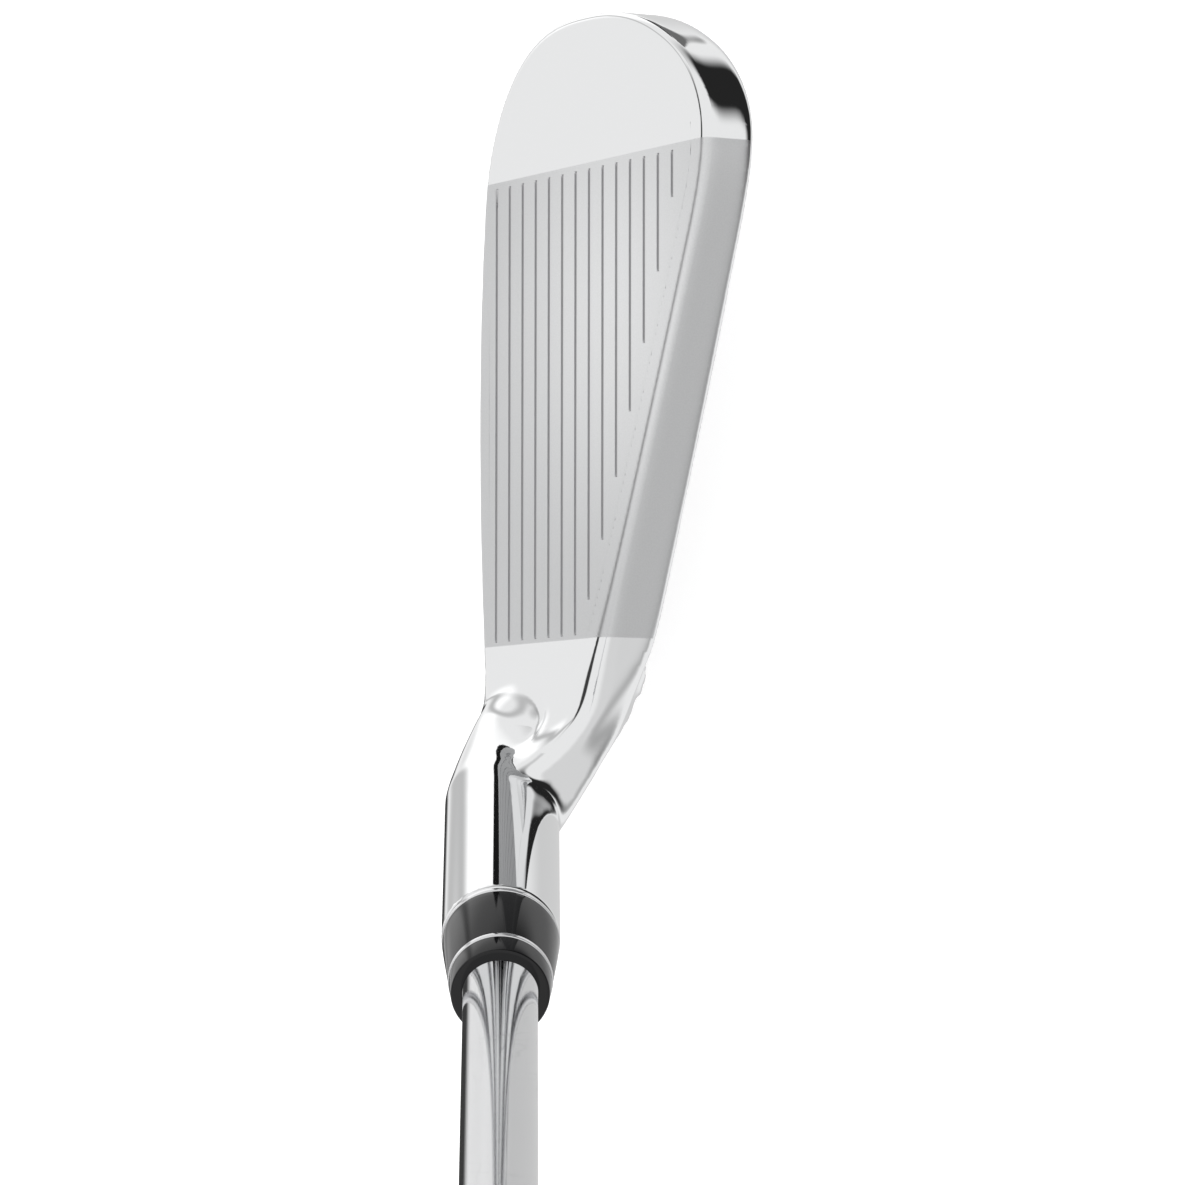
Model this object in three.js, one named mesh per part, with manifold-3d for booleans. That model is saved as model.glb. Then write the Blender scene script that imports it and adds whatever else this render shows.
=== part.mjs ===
// Mid iron golf club, built as separate solids in millimetres.
// Club frame while modelling: +X towards the toe, +Y towards the target, +Z up, and the point
// where the shaft axis meets the ground at the origin. The finished group is moved so that the
// centre of the flat rest on the sole becomes the origin.
import * as THREE from "three";
import { ConvexGeometry } from "three/addons/geometries/ConvexGeometry.js";
import { mergeVertices } from "three/addons/utils/BufferGeometryUtils.js";
import Module from "manifold-3d";

const wasm = await Module();
wasm.setup();

const RAD = Math.PI / 180;

// ---- angles and overall size -------------------------------------------------------------
const LOFT = 29 * RAD; // face plane away from the vertical
const LIE = 62.5 * RAD; // shaft axis above the ground
const CLUB_LENGTH = 940; // along the shaft axis, ground to the end of the grip cap
const FACE_SETBACK = 4.36; // face plane at ground level, ahead of the shaft axis
const BLADE_LENGTH = 90.7; // shaft axis at ground level to the toe
const BLADE_HEIGHT = 60.1; // up the face, ground to the toe peak

// ---- blade -------------------------------------------------------------------------------
const TOPLINE_DEPTH = 7.3; // thickness square to the face, at the toe
const HEEL_DEPTH = 8.3; // the same at the heel end of the topline
const DEPTH_TAPER_FROM = 10; // along the blade: full heel depth up to here
const DEPTH_TAPER_TO = 65; // along the blade: toe depth from here
const SOLE_WIDTH = 18.6; // front to back at mid blade
const HEEL_SOLE_WIDTH = 14; // front to back where the sole runs into the heel
const SOLE_TAPER_FROM = 12; // along the blade: narrow sole up to here
const SOLE_TAPER_TO = 40; // along the blade: full sole from here
const SOLE_TILT = 28 * RAD; // run of the sole against the square of the face
const SOLE_CAMBER = 0.66; // bulge of the sole, front to back
const SOLE_ZONE_LOW = 7; // height on the face up to which the wall is all sole
const SOLE_ZONE_HIGH = 31; // height on the face from which the wall is all toe
const FRONT_RADIUS = 1.2; // front edge of topline and toe
const LEADING_RADIUS = 1.6; // leading edge of the sole
const LEADING_SHIFT = 2.3; // sharp corner below the visible leading edge
const REAR_RADIUS = 1; // rear edge of topline and toe
const TRAILING_RADIUS = 1.9; // rear edge of the sole
const RIM_WIDTH = 3.6; // perimeter frame behind topline and toe
const SOLE_BAR = 6.4; // thickness of the sole bar
const CAVITY_DRAFT = 1.2; // spread of the cavity wall from rim to floor
const CAVITY_FLOOR = 4.2; // depth of the cavity floor behind the face plane
const ARC_STEPS = 3; // facets on each rounded edge
const SOLE_STEPS = 4; // facets across the sole

// ---- heel and hosel (distances "along" are along the shaft axis, from the ground) ---------
const HOSEL_WALL = 2.59; // round the bore
const HOSEL_RIM = 58; // end of the hosel, along the axis
const HOSEL_RIM_CHAMFER = 0.1;
const HOSEL_ROOT = 12; // lower end of the round hosel, along the axis
const HEEL_INSET = 0.55; // rounded heel inside the hosel's own radius
const BORE_BOTTOM = 26; // along the axis
const RIB_X = 7; // blade station where the neck starts
const HEEL_LOW = 22; // height on the face up to which the rounded heel follows the blade
const BAR_LOW = 20; // height on the face of the lower side of the neck bar
const BAR_FROM = 16; // lower end of the bar's landing on the hosel, along the axis
const BAR_TO = 30; // upper end of the same
const BAR_REAR = -130 * RAD; // landing round the hosel: 0 is the toe side, -90 away from target
const BAR_FRONT = -34 * RAD;
const BAR_STEPS = 6; // facets over the landing
const SKIN = 0.02; // keeps hidden faces of joined solids just under the visible ones
const BAR_DROP = 0.2; // upper side of the neck bar below the topline

// ---- face plate and what sits behind it ----------------------------------------------------
const PLATE_INSET = 3.2; // plate edge inside the visible blade outline
const PLATE_HEEL = 9; // heel end of the plate, along the blade
const PLATE_THICKNESS = 2.4;
const CUT_GAP = 0.3; // clearance round pieces let into a pocket
const CLEAR_CUT = 3; // how far a cutter runs past the surface that it opens
const SCORE_COUNT = 14;
const FULL_SCORES = 7; // score lines that run to the heel end
const SCORE_FIRST = 7.2; // height on the face of the lowest line
const SCORE_PITCH = 3.46;
const SCORE_WIDTH = 0.7;
const SCORE_DEPTH = 0.4;
const SCORE_TOE = 70.9; // toe end of every line, along the blade
const SCORE_HEEL = 11.9; // heel end of the full lines, along the blade
const SHORT_SCORE_FIRST = 16.25; // heel end of the first shortened line, along the blade
const SHORT_SCORE_STEP = 7.2; // the next line starts this much nearer the toe
const SHORT_SCORE_GROWTH = 0.155; // and the steps grow as the topline curves
const WINDOW_HEEL = 16; // window through the blade behind the plate: heel end
const WINDOW_TOE = 74;
const WINDOW_LOW = 17; // height on the face of its lower edge
const WINDOW_MARGIN = 13; // upper edge below the topline
const BADGE_INSET = 9;
const BADGE_HEEL = 13;
const BADGE_LOW = 15;
const TAPE_THICKNESS = 0.6;
const BADGE_THICKNESS = 1.4;
const INLAY_HEEL = 26; // centre of the rounded heel end of the bar
const INLAY_TOE = 68; // centre of the rounded toe end of the bar
const INLAY_HEIGHT = 24.5; // middle of the bar, up the face
const INLAY_HALF = 5; // half the width of the bar
const INLAY_FACETS = 6;
const INLAY_RECESS = 0.7;
const INLAY_THICKNESS = 1;

// ---- weight in the sole --------------------------------------------------------------------
const WEIGHT_X = 54;
const WEIGHT_SETBACK = 12.36; // middle of the weight behind the foot of the face plane
const WEIGHT_LENGTH = 24;
const WEIGHT_WIDTH = 7;
const WEIGHT_BOTTOM = 2.4;
const WEIGHT_PROUD = 0.6; // top of the weight above the nominal sole bar

// ---- sole rest -----------------------------------------------------------------------------
const REST_X = 40; // centre of the flat rest on the sole
const REST_SETBACK = 9.86; // behind the foot of the face plane

// ---- ferrule -------------------------------------------------------------------------------
const FERRULE_STEP = 0.07; // ferrule inside the hosel's radius at the rim
const FERRULE_SHOULDER_STEP = 0.2; // the same where the taper starts
const FERRULE_SHOULDER = 2.5; // length of the near cylindrical start
const FERRULE_END_WALL = 1.44; // round the shaft at the far end
const FERRULE_LENGTH = 14.2;
const FERRULE_CHAMFER = 0.25;
const RING_WIDTH = 0.7;
const RING_DEPTH = 0.7; // how far a ring goes into the ferrule
const LOWER_RING_TOP = 10.95; // end of the second ring, from the hosel rim
const RING_FIT = 0.02; // clearance round the pressed rings

// ---- shaft ---------------------------------------------------------------------------------
const TIP_OD = 9.02;
const BUTT_OD = 15.24;
const TIP_SECTION = 305; // plain length from the tip to the first step
const TIP_WALL = 0.6;
const BUTT_WALL = 0.4;
const BOND_GAP = 0.15; // radial room for the bond between shaft and hosel
const STEP_COUNT = 11;
const STEP_PITCH = 31.75;
const STEP_RAMP = 1; // length of the cone at a step
const PLUG_LENGTH = 20; // swing weight pin in the tip
const PLUG_FIT = 0.1;

// ---- grip ----------------------------------------------------------------------------------
const GRIP_LENGTH = 268; // mouth to the end of the steel tube
const GRIP_LIP_WALL = 1.2; // rubber outside the bore of the grip, from the mouth upwards
const GRIP_LOW_WALL = 1.5;
const GRIP_MID_WALL = 2.8;
const GRIP_HIGH_WALL = 4.4;
const GRIP_FLARE_WALL = 5.6;
const GRIP_EDGE = 0.8; // bevel at the mouth
const GRIP_LIP = 3;
const GRIP_FLARE = 22;
const TAPE_WALL = 0.35;
const TAPE_SETBACK = 6; // tape stops short of the mouth of the grip
const SLEEVE_FIT = 0.06; // clearance between shaft, tape and grip
const CAP_THICKNESS = 4;
const CAP_RADIUS = 1.4; // rounding of the butt cap
const VENT_OD = 3;

const ROUND = 32; // facets round every turned piece

// ---- sizes that follow from the ones above -------------------------------------------------
const BORE_RADIUS = TIP_OD / 2 + BOND_GAP;
const HOSEL_RADIUS = BORE_RADIUS + HOSEL_WALL;
const BALL_RADIUS = HOSEL_RADIUS - HEEL_INSET;
const WEIGHT_Y = FACE_SETBACK - WEIGHT_SETBACK;
const WEIGHT_TOP = SOLE_BAR + WEIGHT_PROUD;
const REST_Y = FACE_SETBACK - REST_SETBACK;
const FIRST_STEP = BORE_BOTTOM + TIP_SECTION;
const LAST_STEP = FIRST_STEP + STEP_PITCH * STEP_COUNT;
const BUTT_END = CLUB_LENGTH - CAP_THICKNESS;
const GRIP_MOUTH = BUTT_END - GRIP_LENGTH;
const GRIP_BORE = BUTT_OD / 2 + 2 * SLEEVE_FIT + TAPE_WALL;

const SHORTEST_EDGE = 0.05; // outline points nearer than this are one point
const FOLD_LIMIT = 0.98; // share of an inset that its points keep from the whole outline

// ---- frames --------------------------------------------------------------------------------
// Face frame: x along the blade, y up the face, z square behind the face.
const FACE_FRAME = new THREE.Matrix4()
  .makeBasis(
    new THREE.Vector3(1, 0, 0),
    new THREE.Vector3(0, -Math.sin(LOFT), Math.cos(LOFT)),
    new THREE.Vector3(0, -Math.cos(LOFT), -Math.sin(LOFT)),
  )
  .setPosition(0, FACE_SETBACK, 0);

// Shaft frame: z up the shaft axis, x towards the toe side, y towards the target.
const SHAFT_FRAME = new THREE.Matrix4().makeBasis(
  new THREE.Vector3(Math.sin(LIE), 0, Math.cos(LIE)),
  new THREE.Vector3(0, 1, 0),
  new THREE.Vector3(-Math.cos(LIE), 0, Math.sin(LIE)),
);

// ---- solids --------------------------------------------------------------------------------
function solid(geometry) {
  const bare = geometry.clone();
  bare.deleteAttribute("normal");
  bare.deleteAttribute("uv");
  const merged = mergeVertices(bare, 1e-4);
  return new wasm.Manifold(new wasm.Mesh({
    numProp: 3,
    vertProperties: new Float32Array(merged.attributes.position.array),
    triVerts: new Uint32Array(merged.index.array),
  }));
}

function geometryOf(manifold) {
  const { vertProperties, triVerts } = manifold.getMesh();
  const geometry = new THREE.BufferGeometry();
  geometry.setAttribute("position", new THREE.BufferAttribute(new Float32Array(vertProperties), 3));
  geometry.setIndex(new THREE.BufferAttribute(new Uint32Array(triVerts), 1));
  return geometry;
}

function cut(body, ...tools) {
  return tools.reduce((left, tool) => left.subtract(solid(tool)), solid(body));
}

// Turned piece: a profile of [radius, distance along the shaft axis], outside upwards first.
function turned(profile) {
  const points = profile.map(([radius, along]) => new THREE.Vector2(radius, along));
  const lathe = new THREE.LatheGeometry(points, ROUND);
  return lathe.rotateX(Math.PI / 2).applyMatrix4(SHAFT_FRAME);
}

function rod(radius, from, to) {
  return turned([[0, from], [radius, from], [radius, to], [0, to]]);
}

// Plate parallel to the face: an outline in the face frame between two depths.
function plate(outline, from, to) {
  const geometry = new THREE.ExtrudeGeometry(new THREE.Shape(outline), {
    depth: to - from,
    bevelEnabled: false,
  });
  return geometry.translate(0, 0, from).applyMatrix4(FACE_FRAME);
}

function facePoint(along, up, depth) {
  return new THREE.Vector3(along, up, depth).applyMatrix4(FACE_FRAME);
}

// ---- blade outline -------------------------------------------------------------------------
// The outline is drawn for a blade of this length and height, and stretched to the one asked for.
const DRAWN_LENGTH = 90.7;
const DRAWN_HEIGHT = 60.1;

function bezier(...xy) {
  const points = [];
  for (let i = 0; i < xy.length; i += 2) {
    points.push(new THREE.Vector2(
      xy[i] * BLADE_LENGTH / DRAWN_LENGTH,
      xy[i + 1] * BLADE_HEIGHT / DRAWN_HEIGHT,
    ));
  }
  return new THREE.CubicBezierCurve(...points);
}

// Visible outline in the face frame, run anticlockwise from the heel end of the sole.
const OUTLINE = [
  [bezier(12, 4.1, 30, 2.6, 50, 2.2, 69, 4.3), 8], // leading edge
  [bezier(69, 4.3, 81, 5.7, 90.7, 15, 90.7, 30), 11], // lower toe
  [bezier(90.7, 30, 90.7, 39, 88.3, 45.5, 85.5, 50.5), 5], // upper toe
  [bezier(85.5, 50.5, 82.2, 56.4, 77.5, 60.1, 72.3, 60.1), 7], // toe peak
  [bezier(72.3, 60.1, 67.6, 60.1, 62.6, 57.9, 58, 55.9), 4], // shoulder
  [bezier(58, 55.9, 42, 49, 26, 41.9, 10, 34.2), 5], // topline
  [bezier(10, 34.2, 5, 31.8, 0, 28, 0, 21), 5], // heel end, inside the neck
  [bezier(0, 21, 0, 18, 0, 15, 0, 12), 2],
  [bezier(0, 12, 0, 7, 5, 4.8, 12, 4.1), 4],
];

function outlineStations() {
  const stations = [];
  for (const [curve, steps] of OUTLINE) {
    for (let i = 0; i < steps; i += 1) {
      const tangent = curve.getTangent(i / steps);
      stations.push({ at: curve.getPoint(i / steps), out: new THREE.Vector2(tangent.y, -tangent.x) });
    }
  }
  return stations;
}

// Height of the topline on the face at a distance along the blade.
function toplineHeight(along) {
  const points = outlineStations().map(({ at }) => at);
  let height = 0;
  points.forEach((from, i) => {
    const to = points[(i + 1) % points.length];
    if (from.x >= along && to.x < along) {
      height = THREE.MathUtils.mapLinear(along, to.x, from.x, to.y, from.y);
    }
  });
  return height;
}

// The outline moved inwards, and held above a lowest height and beyond a heel end. Points that
// would fold over a tight bend, and so come too near another part of the outline, are left out.
function insetOutline(inset, heel, low = -Infinity) {
  const stations = outlineStations();
  const points = [];
  for (const { at, out } of stations) {
    const moved = at.clone().addScaledVector(out, -inset);
    const folded = stations.some((other) => other.at.distanceTo(moved) < inset * FOLD_LIMIT);
    const point = new THREE.Vector2(Math.max(moved.x, heel), Math.max(moved.y, low));
    const last = points[points.length - 1];
    if (!folded && (!last || last.distanceTo(point) > SHORTEST_EDGE)) {
      points.push(point);
    }
  }
  if (points[0].distanceTo(points[points.length - 1]) < SHORTEST_EDGE) {
    points.pop();
  }
  return points;
}

// Window outline, drawn in by a gap on every side.
function windowOutline(gap) {
  const heel = WINDOW_HEEL + gap;
  const toe = WINDOW_TOE - gap;
  return [
    new THREE.Vector2(heel, WINDOW_LOW + gap),
    new THREE.Vector2(toe, WINDOW_LOW + gap),
    new THREE.Vector2(toe, toplineHeight(WINDOW_TOE) - WINDOW_MARGIN - gap),
    new THREE.Vector2(heel, toplineHeight(WINDOW_HEEL) - WINDOW_MARGIN - gap),
  ];
}

// ---- blade solid ---------------------------------------------------------------------------
// Share of "sole" in the wall at a height on the face: 1 along the sole, 0 from mid toe upwards.
function soleShare(height) {
  return 1 - THREE.MathUtils.smoothstep(height, SOLE_ZONE_LOW, SOLE_ZONE_HIGH);
}

function soleWidthAt(along) {
  const share = THREE.MathUtils.smoothstep(along, SOLE_TAPER_FROM, SOLE_TAPER_TO);
  return THREE.MathUtils.lerp(HEEL_SOLE_WIDTH, SOLE_WIDTH, share);
}

function toplineDepthAt(along) {
  const part = (along - DEPTH_TAPER_FROM) / (DEPTH_TAPER_TO - DEPTH_TAPER_FROM);
  return THREE.MathUtils.lerp(HEEL_DEPTH, TOPLINE_DEPTH, THREE.MathUtils.clamp(part, 0, 1));
}

// Section of the perimeter wall at one station, from the face edge round to the cavity floor.
function wallSection({ at, out }) {
  const share = soleShare(at.y);
  const tilt = SOLE_TILT * share;
  const front = THREE.MathUtils.lerp(FRONT_RADIUS, LEADING_RADIUS, share);
  const rear = THREE.MathUtils.lerp(REAR_RADIUS, TRAILING_RADIUS, share);
  const depth = THREE.MathUtils.lerp(toplineDepthAt(at.x), soleWidthAt(at.x), share);
  const rim = THREE.MathUtils.lerp(RIM_WIDTH, SOLE_BAR, share);
  const run = new THREE.Vector3(0, Math.sin(tilt), Math.cos(tilt));
  const normal = new THREE.Vector3(out.x, out.y * Math.cos(tilt), -out.y * Math.sin(tilt));
  const corner = new THREE.Vector3(
    at.x + out.x * LEADING_SHIFT * share,
    at.y + out.y * LEADING_SHIFT * share,
    0,
  );
  const point = (inwards, along) => corner.clone().addScaledVector(normal, -inwards)
    .addScaledVector(run, along);
  const section = [];

  const lead = front / Math.tan((Math.PI / 2 - tilt) / 2);
  const centre = corner.clone().add(new THREE.Vector3(-out.x * lead, -out.y * lead, front));
  const faceOut = new THREE.Vector3(0, 0, -1);
  const sweep = faceOut.angleTo(normal);
  const axis = faceOut.clone().cross(normal).normalize();
  for (let i = 0; i <= ARC_STEPS; i += 1) {
    const spoke = faceOut.clone().applyAxisAngle(axis, sweep * i / ARC_STEPS);
    section.push(centre.clone().addScaledVector(spoke, front));
  }
  for (let i = 1; i < SOLE_STEPS; i += 1) {
    const part = i / SOLE_STEPS;
    const bulge = SOLE_CAMBER * share * 4 * part * (1 - part);
    section.push(point(-bulge, THREE.MathUtils.lerp(lead, depth - rear, part)));
  }
  for (let i = 0; i <= ARC_STEPS; i += 1) {
    const angle = (Math.PI / 2) * i / ARC_STEPS;
    section.push(point(rear * (1 - Math.cos(angle)), depth - rear * (1 - Math.sin(angle))));
  }
  section.push(point(rim, depth));
  const wallFoot = rim + CAVITY_DRAFT;
  section.push(point(wallFoot, (CAVITY_FLOOR + normal.z * wallFoot) / Math.cos(tilt)));
  return section;
}

// Closed loft: one section for each station of the outline, with a fan over the face and the floor.
function loopLoft(sections) {
  const rows = sections[0].length;
  const count = sections.length;
  const position = sections.flat().flatMap((p) => [p.x, p.y, p.z]);
  const index = [];
  const id = (station, row) => (station % count) * rows + row;
  for (let s = 0; s < count; s += 1) {
    for (let r = 0; r + 1 < rows; r += 1) {
      index.push(id(s, r), id(s + 1, r), id(s + 1, r + 1));
      index.push(id(s, r), id(s + 1, r + 1), id(s, r + 1));
    }
  }
  const cap = (row, flip) => {
    const middle = sections.reduce((sum, section) => sum.add(section[row]), new THREE.Vector3());
    const hub = position.push(...middle.divideScalar(count)) / 3 - 1;
    for (let s = 0; s < count; s += 1) {
      index.push(hub, id(flip ? s + 1 : s, row), id(flip ? s : s + 1, row));
    }
  };
  cap(0, true);
  cap(rows - 1, false);
  const geometry = new THREE.BufferGeometry();
  geometry.setAttribute("position", new THREE.Float32BufferAttribute(position, 3));
  geometry.setIndex(index);
  return geometry;
}

function blade() {
  return loopLoft(outlineStations().map(wallSection)).applyMatrix4(FACE_FRAME);
}

// ---- neck and hosel ------------------------------------------------------------------------
function hoselPoint(along, azimuth, radius) {
  return new THREE.Vector3(radius * Math.cos(azimuth), radius * Math.sin(azimuth), along)
    .applyMatrix4(SHAFT_FRAME);
}

// Rounded heel: everything of the blade on the heel side of the first rib, and a ball on the axis.
function heelHull() {
  const ball = new THREE.SphereGeometry(BALL_RADIUS, ROUND / 2, ROUND / 4);
  ball.translate(0, 0, HOSEL_ROOT).applyMatrix4(SHAFT_FRAME);
  const points = [
    facePoint(RIB_X, SCORE_FIRST, SKIN),
    facePoint(RIB_X, BAR_LOW, SKIN),
  ];
  for (const section of outlineStations().map(wallSection)) {
    for (const point of section.slice(1, -1)) {
      if (point.x < RIB_X && (point.y < HEEL_LOW || point.z > HEEL_DEPTH / 2)) {
        points.push(point.applyMatrix4(FACE_FRAME));
      }
    }
  }
  const { position } = ball.attributes;
  for (let i = 0; i < position.count; i += 1) {
    points.push(new THREE.Vector3().fromBufferAttribute(position, i));
  }
  return new ConvexGeometry(points);
}

// Bar that carries the topline on to the back of the hosel.
function barHull() {
  const high = toplineHeight(RIB_X) - BAR_DROP;
  const points = [
    facePoint(RIB_X, BAR_LOW, SKIN),
    facePoint(RIB_X, high - FRONT_RADIUS, SKIN),
    facePoint(RIB_X, high - FRONT_RADIUS / 4, FRONT_RADIUS / 3),
    facePoint(RIB_X, high, FRONT_RADIUS),
    facePoint(RIB_X, high, HEEL_DEPTH - REAR_RADIUS),
    facePoint(RIB_X, high - REAR_RADIUS, HEEL_DEPTH),
    facePoint(RIB_X, BAR_LOW, HEEL_DEPTH),
  ];
  for (let row = 0; row <= BAR_STEPS; row += 1) {
    const along = THREE.MathUtils.lerp(BAR_FROM, BAR_TO, row / BAR_STEPS);
    for (let step = 0; step <= BAR_STEPS; step += 1) {
      const azimuth = THREE.MathUtils.lerp(BAR_REAR, BAR_FRONT, step / BAR_STEPS);
      points.push(hoselPoint(along, azimuth, HOSEL_RADIUS - SKIN));
    }
  }
  return new ConvexGeometry(points);
}

function hosel() {
  const radius = HOSEL_RADIUS;
  return turned([
    [0, HOSEL_ROOT],
    [BALL_RADIUS, HOSEL_ROOT],
    [radius, BAR_TO],
    [radius, HOSEL_RIM - HOSEL_RIM_CHAMFER],
    [radius - HOSEL_RIM_CHAMFER, HOSEL_RIM],
    [0, HOSEL_RIM],
  ]);
}

// ---- head pieces ---------------------------------------------------------------------------
function weightBox(gap, over) {
  const top = WEIGHT_TOP + over;
  const box = new THREE.BoxGeometry(
    WEIGHT_LENGTH + 2 * gap,
    WEIGHT_WIDTH + 2 * gap,
    top - WEIGHT_BOTTOM,
  );
  return box.translate(WEIGHT_X, WEIGHT_Y, (top + WEIGHT_BOTTOM) / 2);
}

function headBody() {
  const whole = solid(blade()).add(solid(heelHull())).add(solid(barHull())).add(solid(hosel()));
  const below = new THREE.BoxGeometry(CLUB_LENGTH, CLUB_LENGTH, SOLE_WIDTH)
    .translate(0, 0, -SOLE_WIDTH / 2);
  const pocket = plate(insetOutline(PLATE_INSET - CUT_GAP, PLATE_HEEL - CUT_GAP), -CLEAR_CUT,
    PLATE_THICKNESS);
  const window = plate(windowOutline(0), 0, CAVITY_FLOOR + CLEAR_CUT);
  const bore = rod(BORE_RADIUS, BORE_BOTTOM, HOSEL_RIM + CLEAR_CUT);
  const weightPocket = weightBox(CUT_GAP, CLEAR_CUT);
  return [below, pocket, window, bore, weightPocket]
    .reduce((left, tool) => left.subtract(solid(tool)), whole);
}

function scoreHeel(line) {
  const short = line - FULL_SCORES;
  if (short < 0) {
    return SCORE_HEEL;
  }
  return SHORT_SCORE_FIRST + SHORT_SCORE_STEP * short + SHORT_SCORE_GROWTH * short ** 2;
}

function scoreCutter(line) {
  const up = SCORE_FIRST + SCORE_PITCH * line;
  const heel = scoreHeel(line);
  const outline = [
    new THREE.Vector2(heel, up - SCORE_WIDTH / 2),
    new THREE.Vector2(SCORE_TOE, up - SCORE_WIDTH / 2),
    new THREE.Vector2(SCORE_TOE, up + SCORE_WIDTH / 2),
    new THREE.Vector2(heel, up + SCORE_WIDTH / 2),
  ];
  return plate(outline, -CLEAR_CUT, SCORE_DEPTH);
}

function facePlate() {
  const blank = plate(insetOutline(PLATE_INSET, PLATE_HEEL), 0, PLATE_THICKNESS);
  const lines = Array.from({ length: SCORE_COUNT }, (_, line) => scoreCutter(line));
  return cut(blank, ...lines);
}

function dampingPad() {
  return plate(windowOutline(CUT_GAP), PLATE_THICKNESS, CAVITY_FLOOR);
}

function badgeTape() {
  return plate(insetOutline(BADGE_INSET, BADGE_HEEL, BADGE_LOW), CAVITY_FLOOR,
    CAVITY_FLOOR + TAPE_THICKNESS);
}

// Bar with round ends, grown by a gap on every side.
function inlayOutline(gap) {
  const bar = new THREE.Path();
  bar.absarc(INLAY_TOE, INLAY_HEIGHT, INLAY_HALF + gap, -Math.PI / 2, Math.PI / 2);
  bar.absarc(INLAY_HEEL, INLAY_HEIGHT, INLAY_HALF + gap, Math.PI / 2, (3 * Math.PI) / 2);
  return bar.getPoints(INLAY_FACETS);
}

function badge() {
  const from = CAVITY_FLOOR + TAPE_THICKNESS;
  const to = from + BADGE_THICKNESS;
  const blank = plate(insetOutline(BADGE_INSET, BADGE_HEEL, BADGE_LOW), from, to);
  return cut(blank, plate(inlayOutline(CUT_GAP), to - INLAY_RECESS, to + CLEAR_CUT));
}

function badgeInlay() {
  const from = CAVITY_FLOOR + TAPE_THICKNESS + BADGE_THICKNESS - INLAY_RECESS;
  return plate(inlayOutline(0), from, from + INLAY_THICKNESS);
}

// ---- ferrule and rings ---------------------------------------------------------------------
// Outside radius of the ferrule at a distance from the hosel rim.
function ferruleRadius(from) {
  const root = HOSEL_RADIUS - FERRULE_STEP;
  const shoulder = HOSEL_RADIUS - FERRULE_SHOULDER_STEP;
  if (from <= FERRULE_SHOULDER) {
    return THREE.MathUtils.lerp(root, shoulder, from / FERRULE_SHOULDER);
  }
  const part = (from - FERRULE_SHOULDER) / (FERRULE_LENGTH - FERRULE_SHOULDER);
  return THREE.MathUtils.lerp(shoulder, TIP_OD / 2 + FERRULE_END_WALL, part);
}

function ferrule() {
  const bore = TIP_OD / 2 + SLEEVE_FIT;
  const ringFrom = LOWER_RING_TOP - RING_WIDTH - RING_FIT;
  const ringTo = LOWER_RING_TOP + RING_FIT;
  const first = RING_WIDTH;
  const along = (from) => HOSEL_RIM + from;
  return turned([
    [bore, along(0)],
    [ferruleRadius(first) - RING_DEPTH - RING_FIT, along(0)],
    [ferruleRadius(first) - RING_DEPTH - RING_FIT, along(first + RING_FIT)],
    [ferruleRadius(first), along(first + RING_FIT)],
    [ferruleRadius(FERRULE_SHOULDER), along(FERRULE_SHOULDER)],
    [ferruleRadius(ringFrom), along(ringFrom)],
    [ferruleRadius(ringTo) - RING_DEPTH - RING_FIT, along(ringFrom)],
    [ferruleRadius(ringTo) - RING_DEPTH - RING_FIT, along(ringTo)],
    [ferruleRadius(ringTo), along(ringTo)],
    [ferruleRadius(FERRULE_LENGTH - FERRULE_CHAMFER), along(FERRULE_LENGTH - FERRULE_CHAMFER)],
    [ferruleRadius(FERRULE_LENGTH) - FERRULE_CHAMFER, along(FERRULE_LENGTH)],
    [bore, along(FERRULE_LENGTH)],
    [bore, along(0)],
  ]);
}

function ferruleRing(from) {
  const to = from + RING_WIDTH;
  const inner = ferruleRadius(to) - RING_DEPTH;
  return turned([
    [ferruleRadius(from), HOSEL_RIM + from],
    [ferruleRadius(to), HOSEL_RIM + to],
    [inner, HOSEL_RIM + to],
    [inner, HOSEL_RIM + from],
    [ferruleRadius(from), HOSEL_RIM + from],
  ]);
}

// ---- shaft ---------------------------------------------------------------------------------
function shaft() {
  const tip = TIP_OD / 2;
  const rise = (BUTT_OD - TIP_OD) / 2 / STEP_COUNT;
  const profile = [[tip, BORE_BOTTOM]];
  for (let step = 0; step < STEP_COUNT; step += 1) {
    const at = FIRST_STEP + STEP_PITCH * step;
    profile.push([tip + rise * step, at], [tip + rise * (step + 1), at + STEP_RAMP]);
  }
  profile.push([BUTT_OD / 2, BUTT_END]);
  profile.push([BUTT_OD / 2 - BUTT_WALL, BUTT_END]);
  profile.push([BUTT_OD / 2 - BUTT_WALL, LAST_STEP]);
  profile.push([tip - TIP_WALL, FIRST_STEP - STEP_PITCH]);
  profile.push([tip - TIP_WALL, BORE_BOTTOM], [tip, BORE_BOTTOM]);
  return turned(profile);
}

function tipPlug() {
  return rod(TIP_OD / 2 - TIP_WALL - PLUG_FIT, BORE_BOTTOM, BORE_BOTTOM + PLUG_LENGTH);
}

// ---- grip ----------------------------------------------------------------------------------
function gripTape() {
  const inner = BUTT_OD / 2 + SLEEVE_FIT;
  const outer = inner + TAPE_WALL;
  const from = GRIP_MOUTH + TAPE_SETBACK;
  return turned([[outer, from], [outer, BUTT_END], [inner, BUTT_END], [inner, from], [outer, from]]);
}

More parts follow.
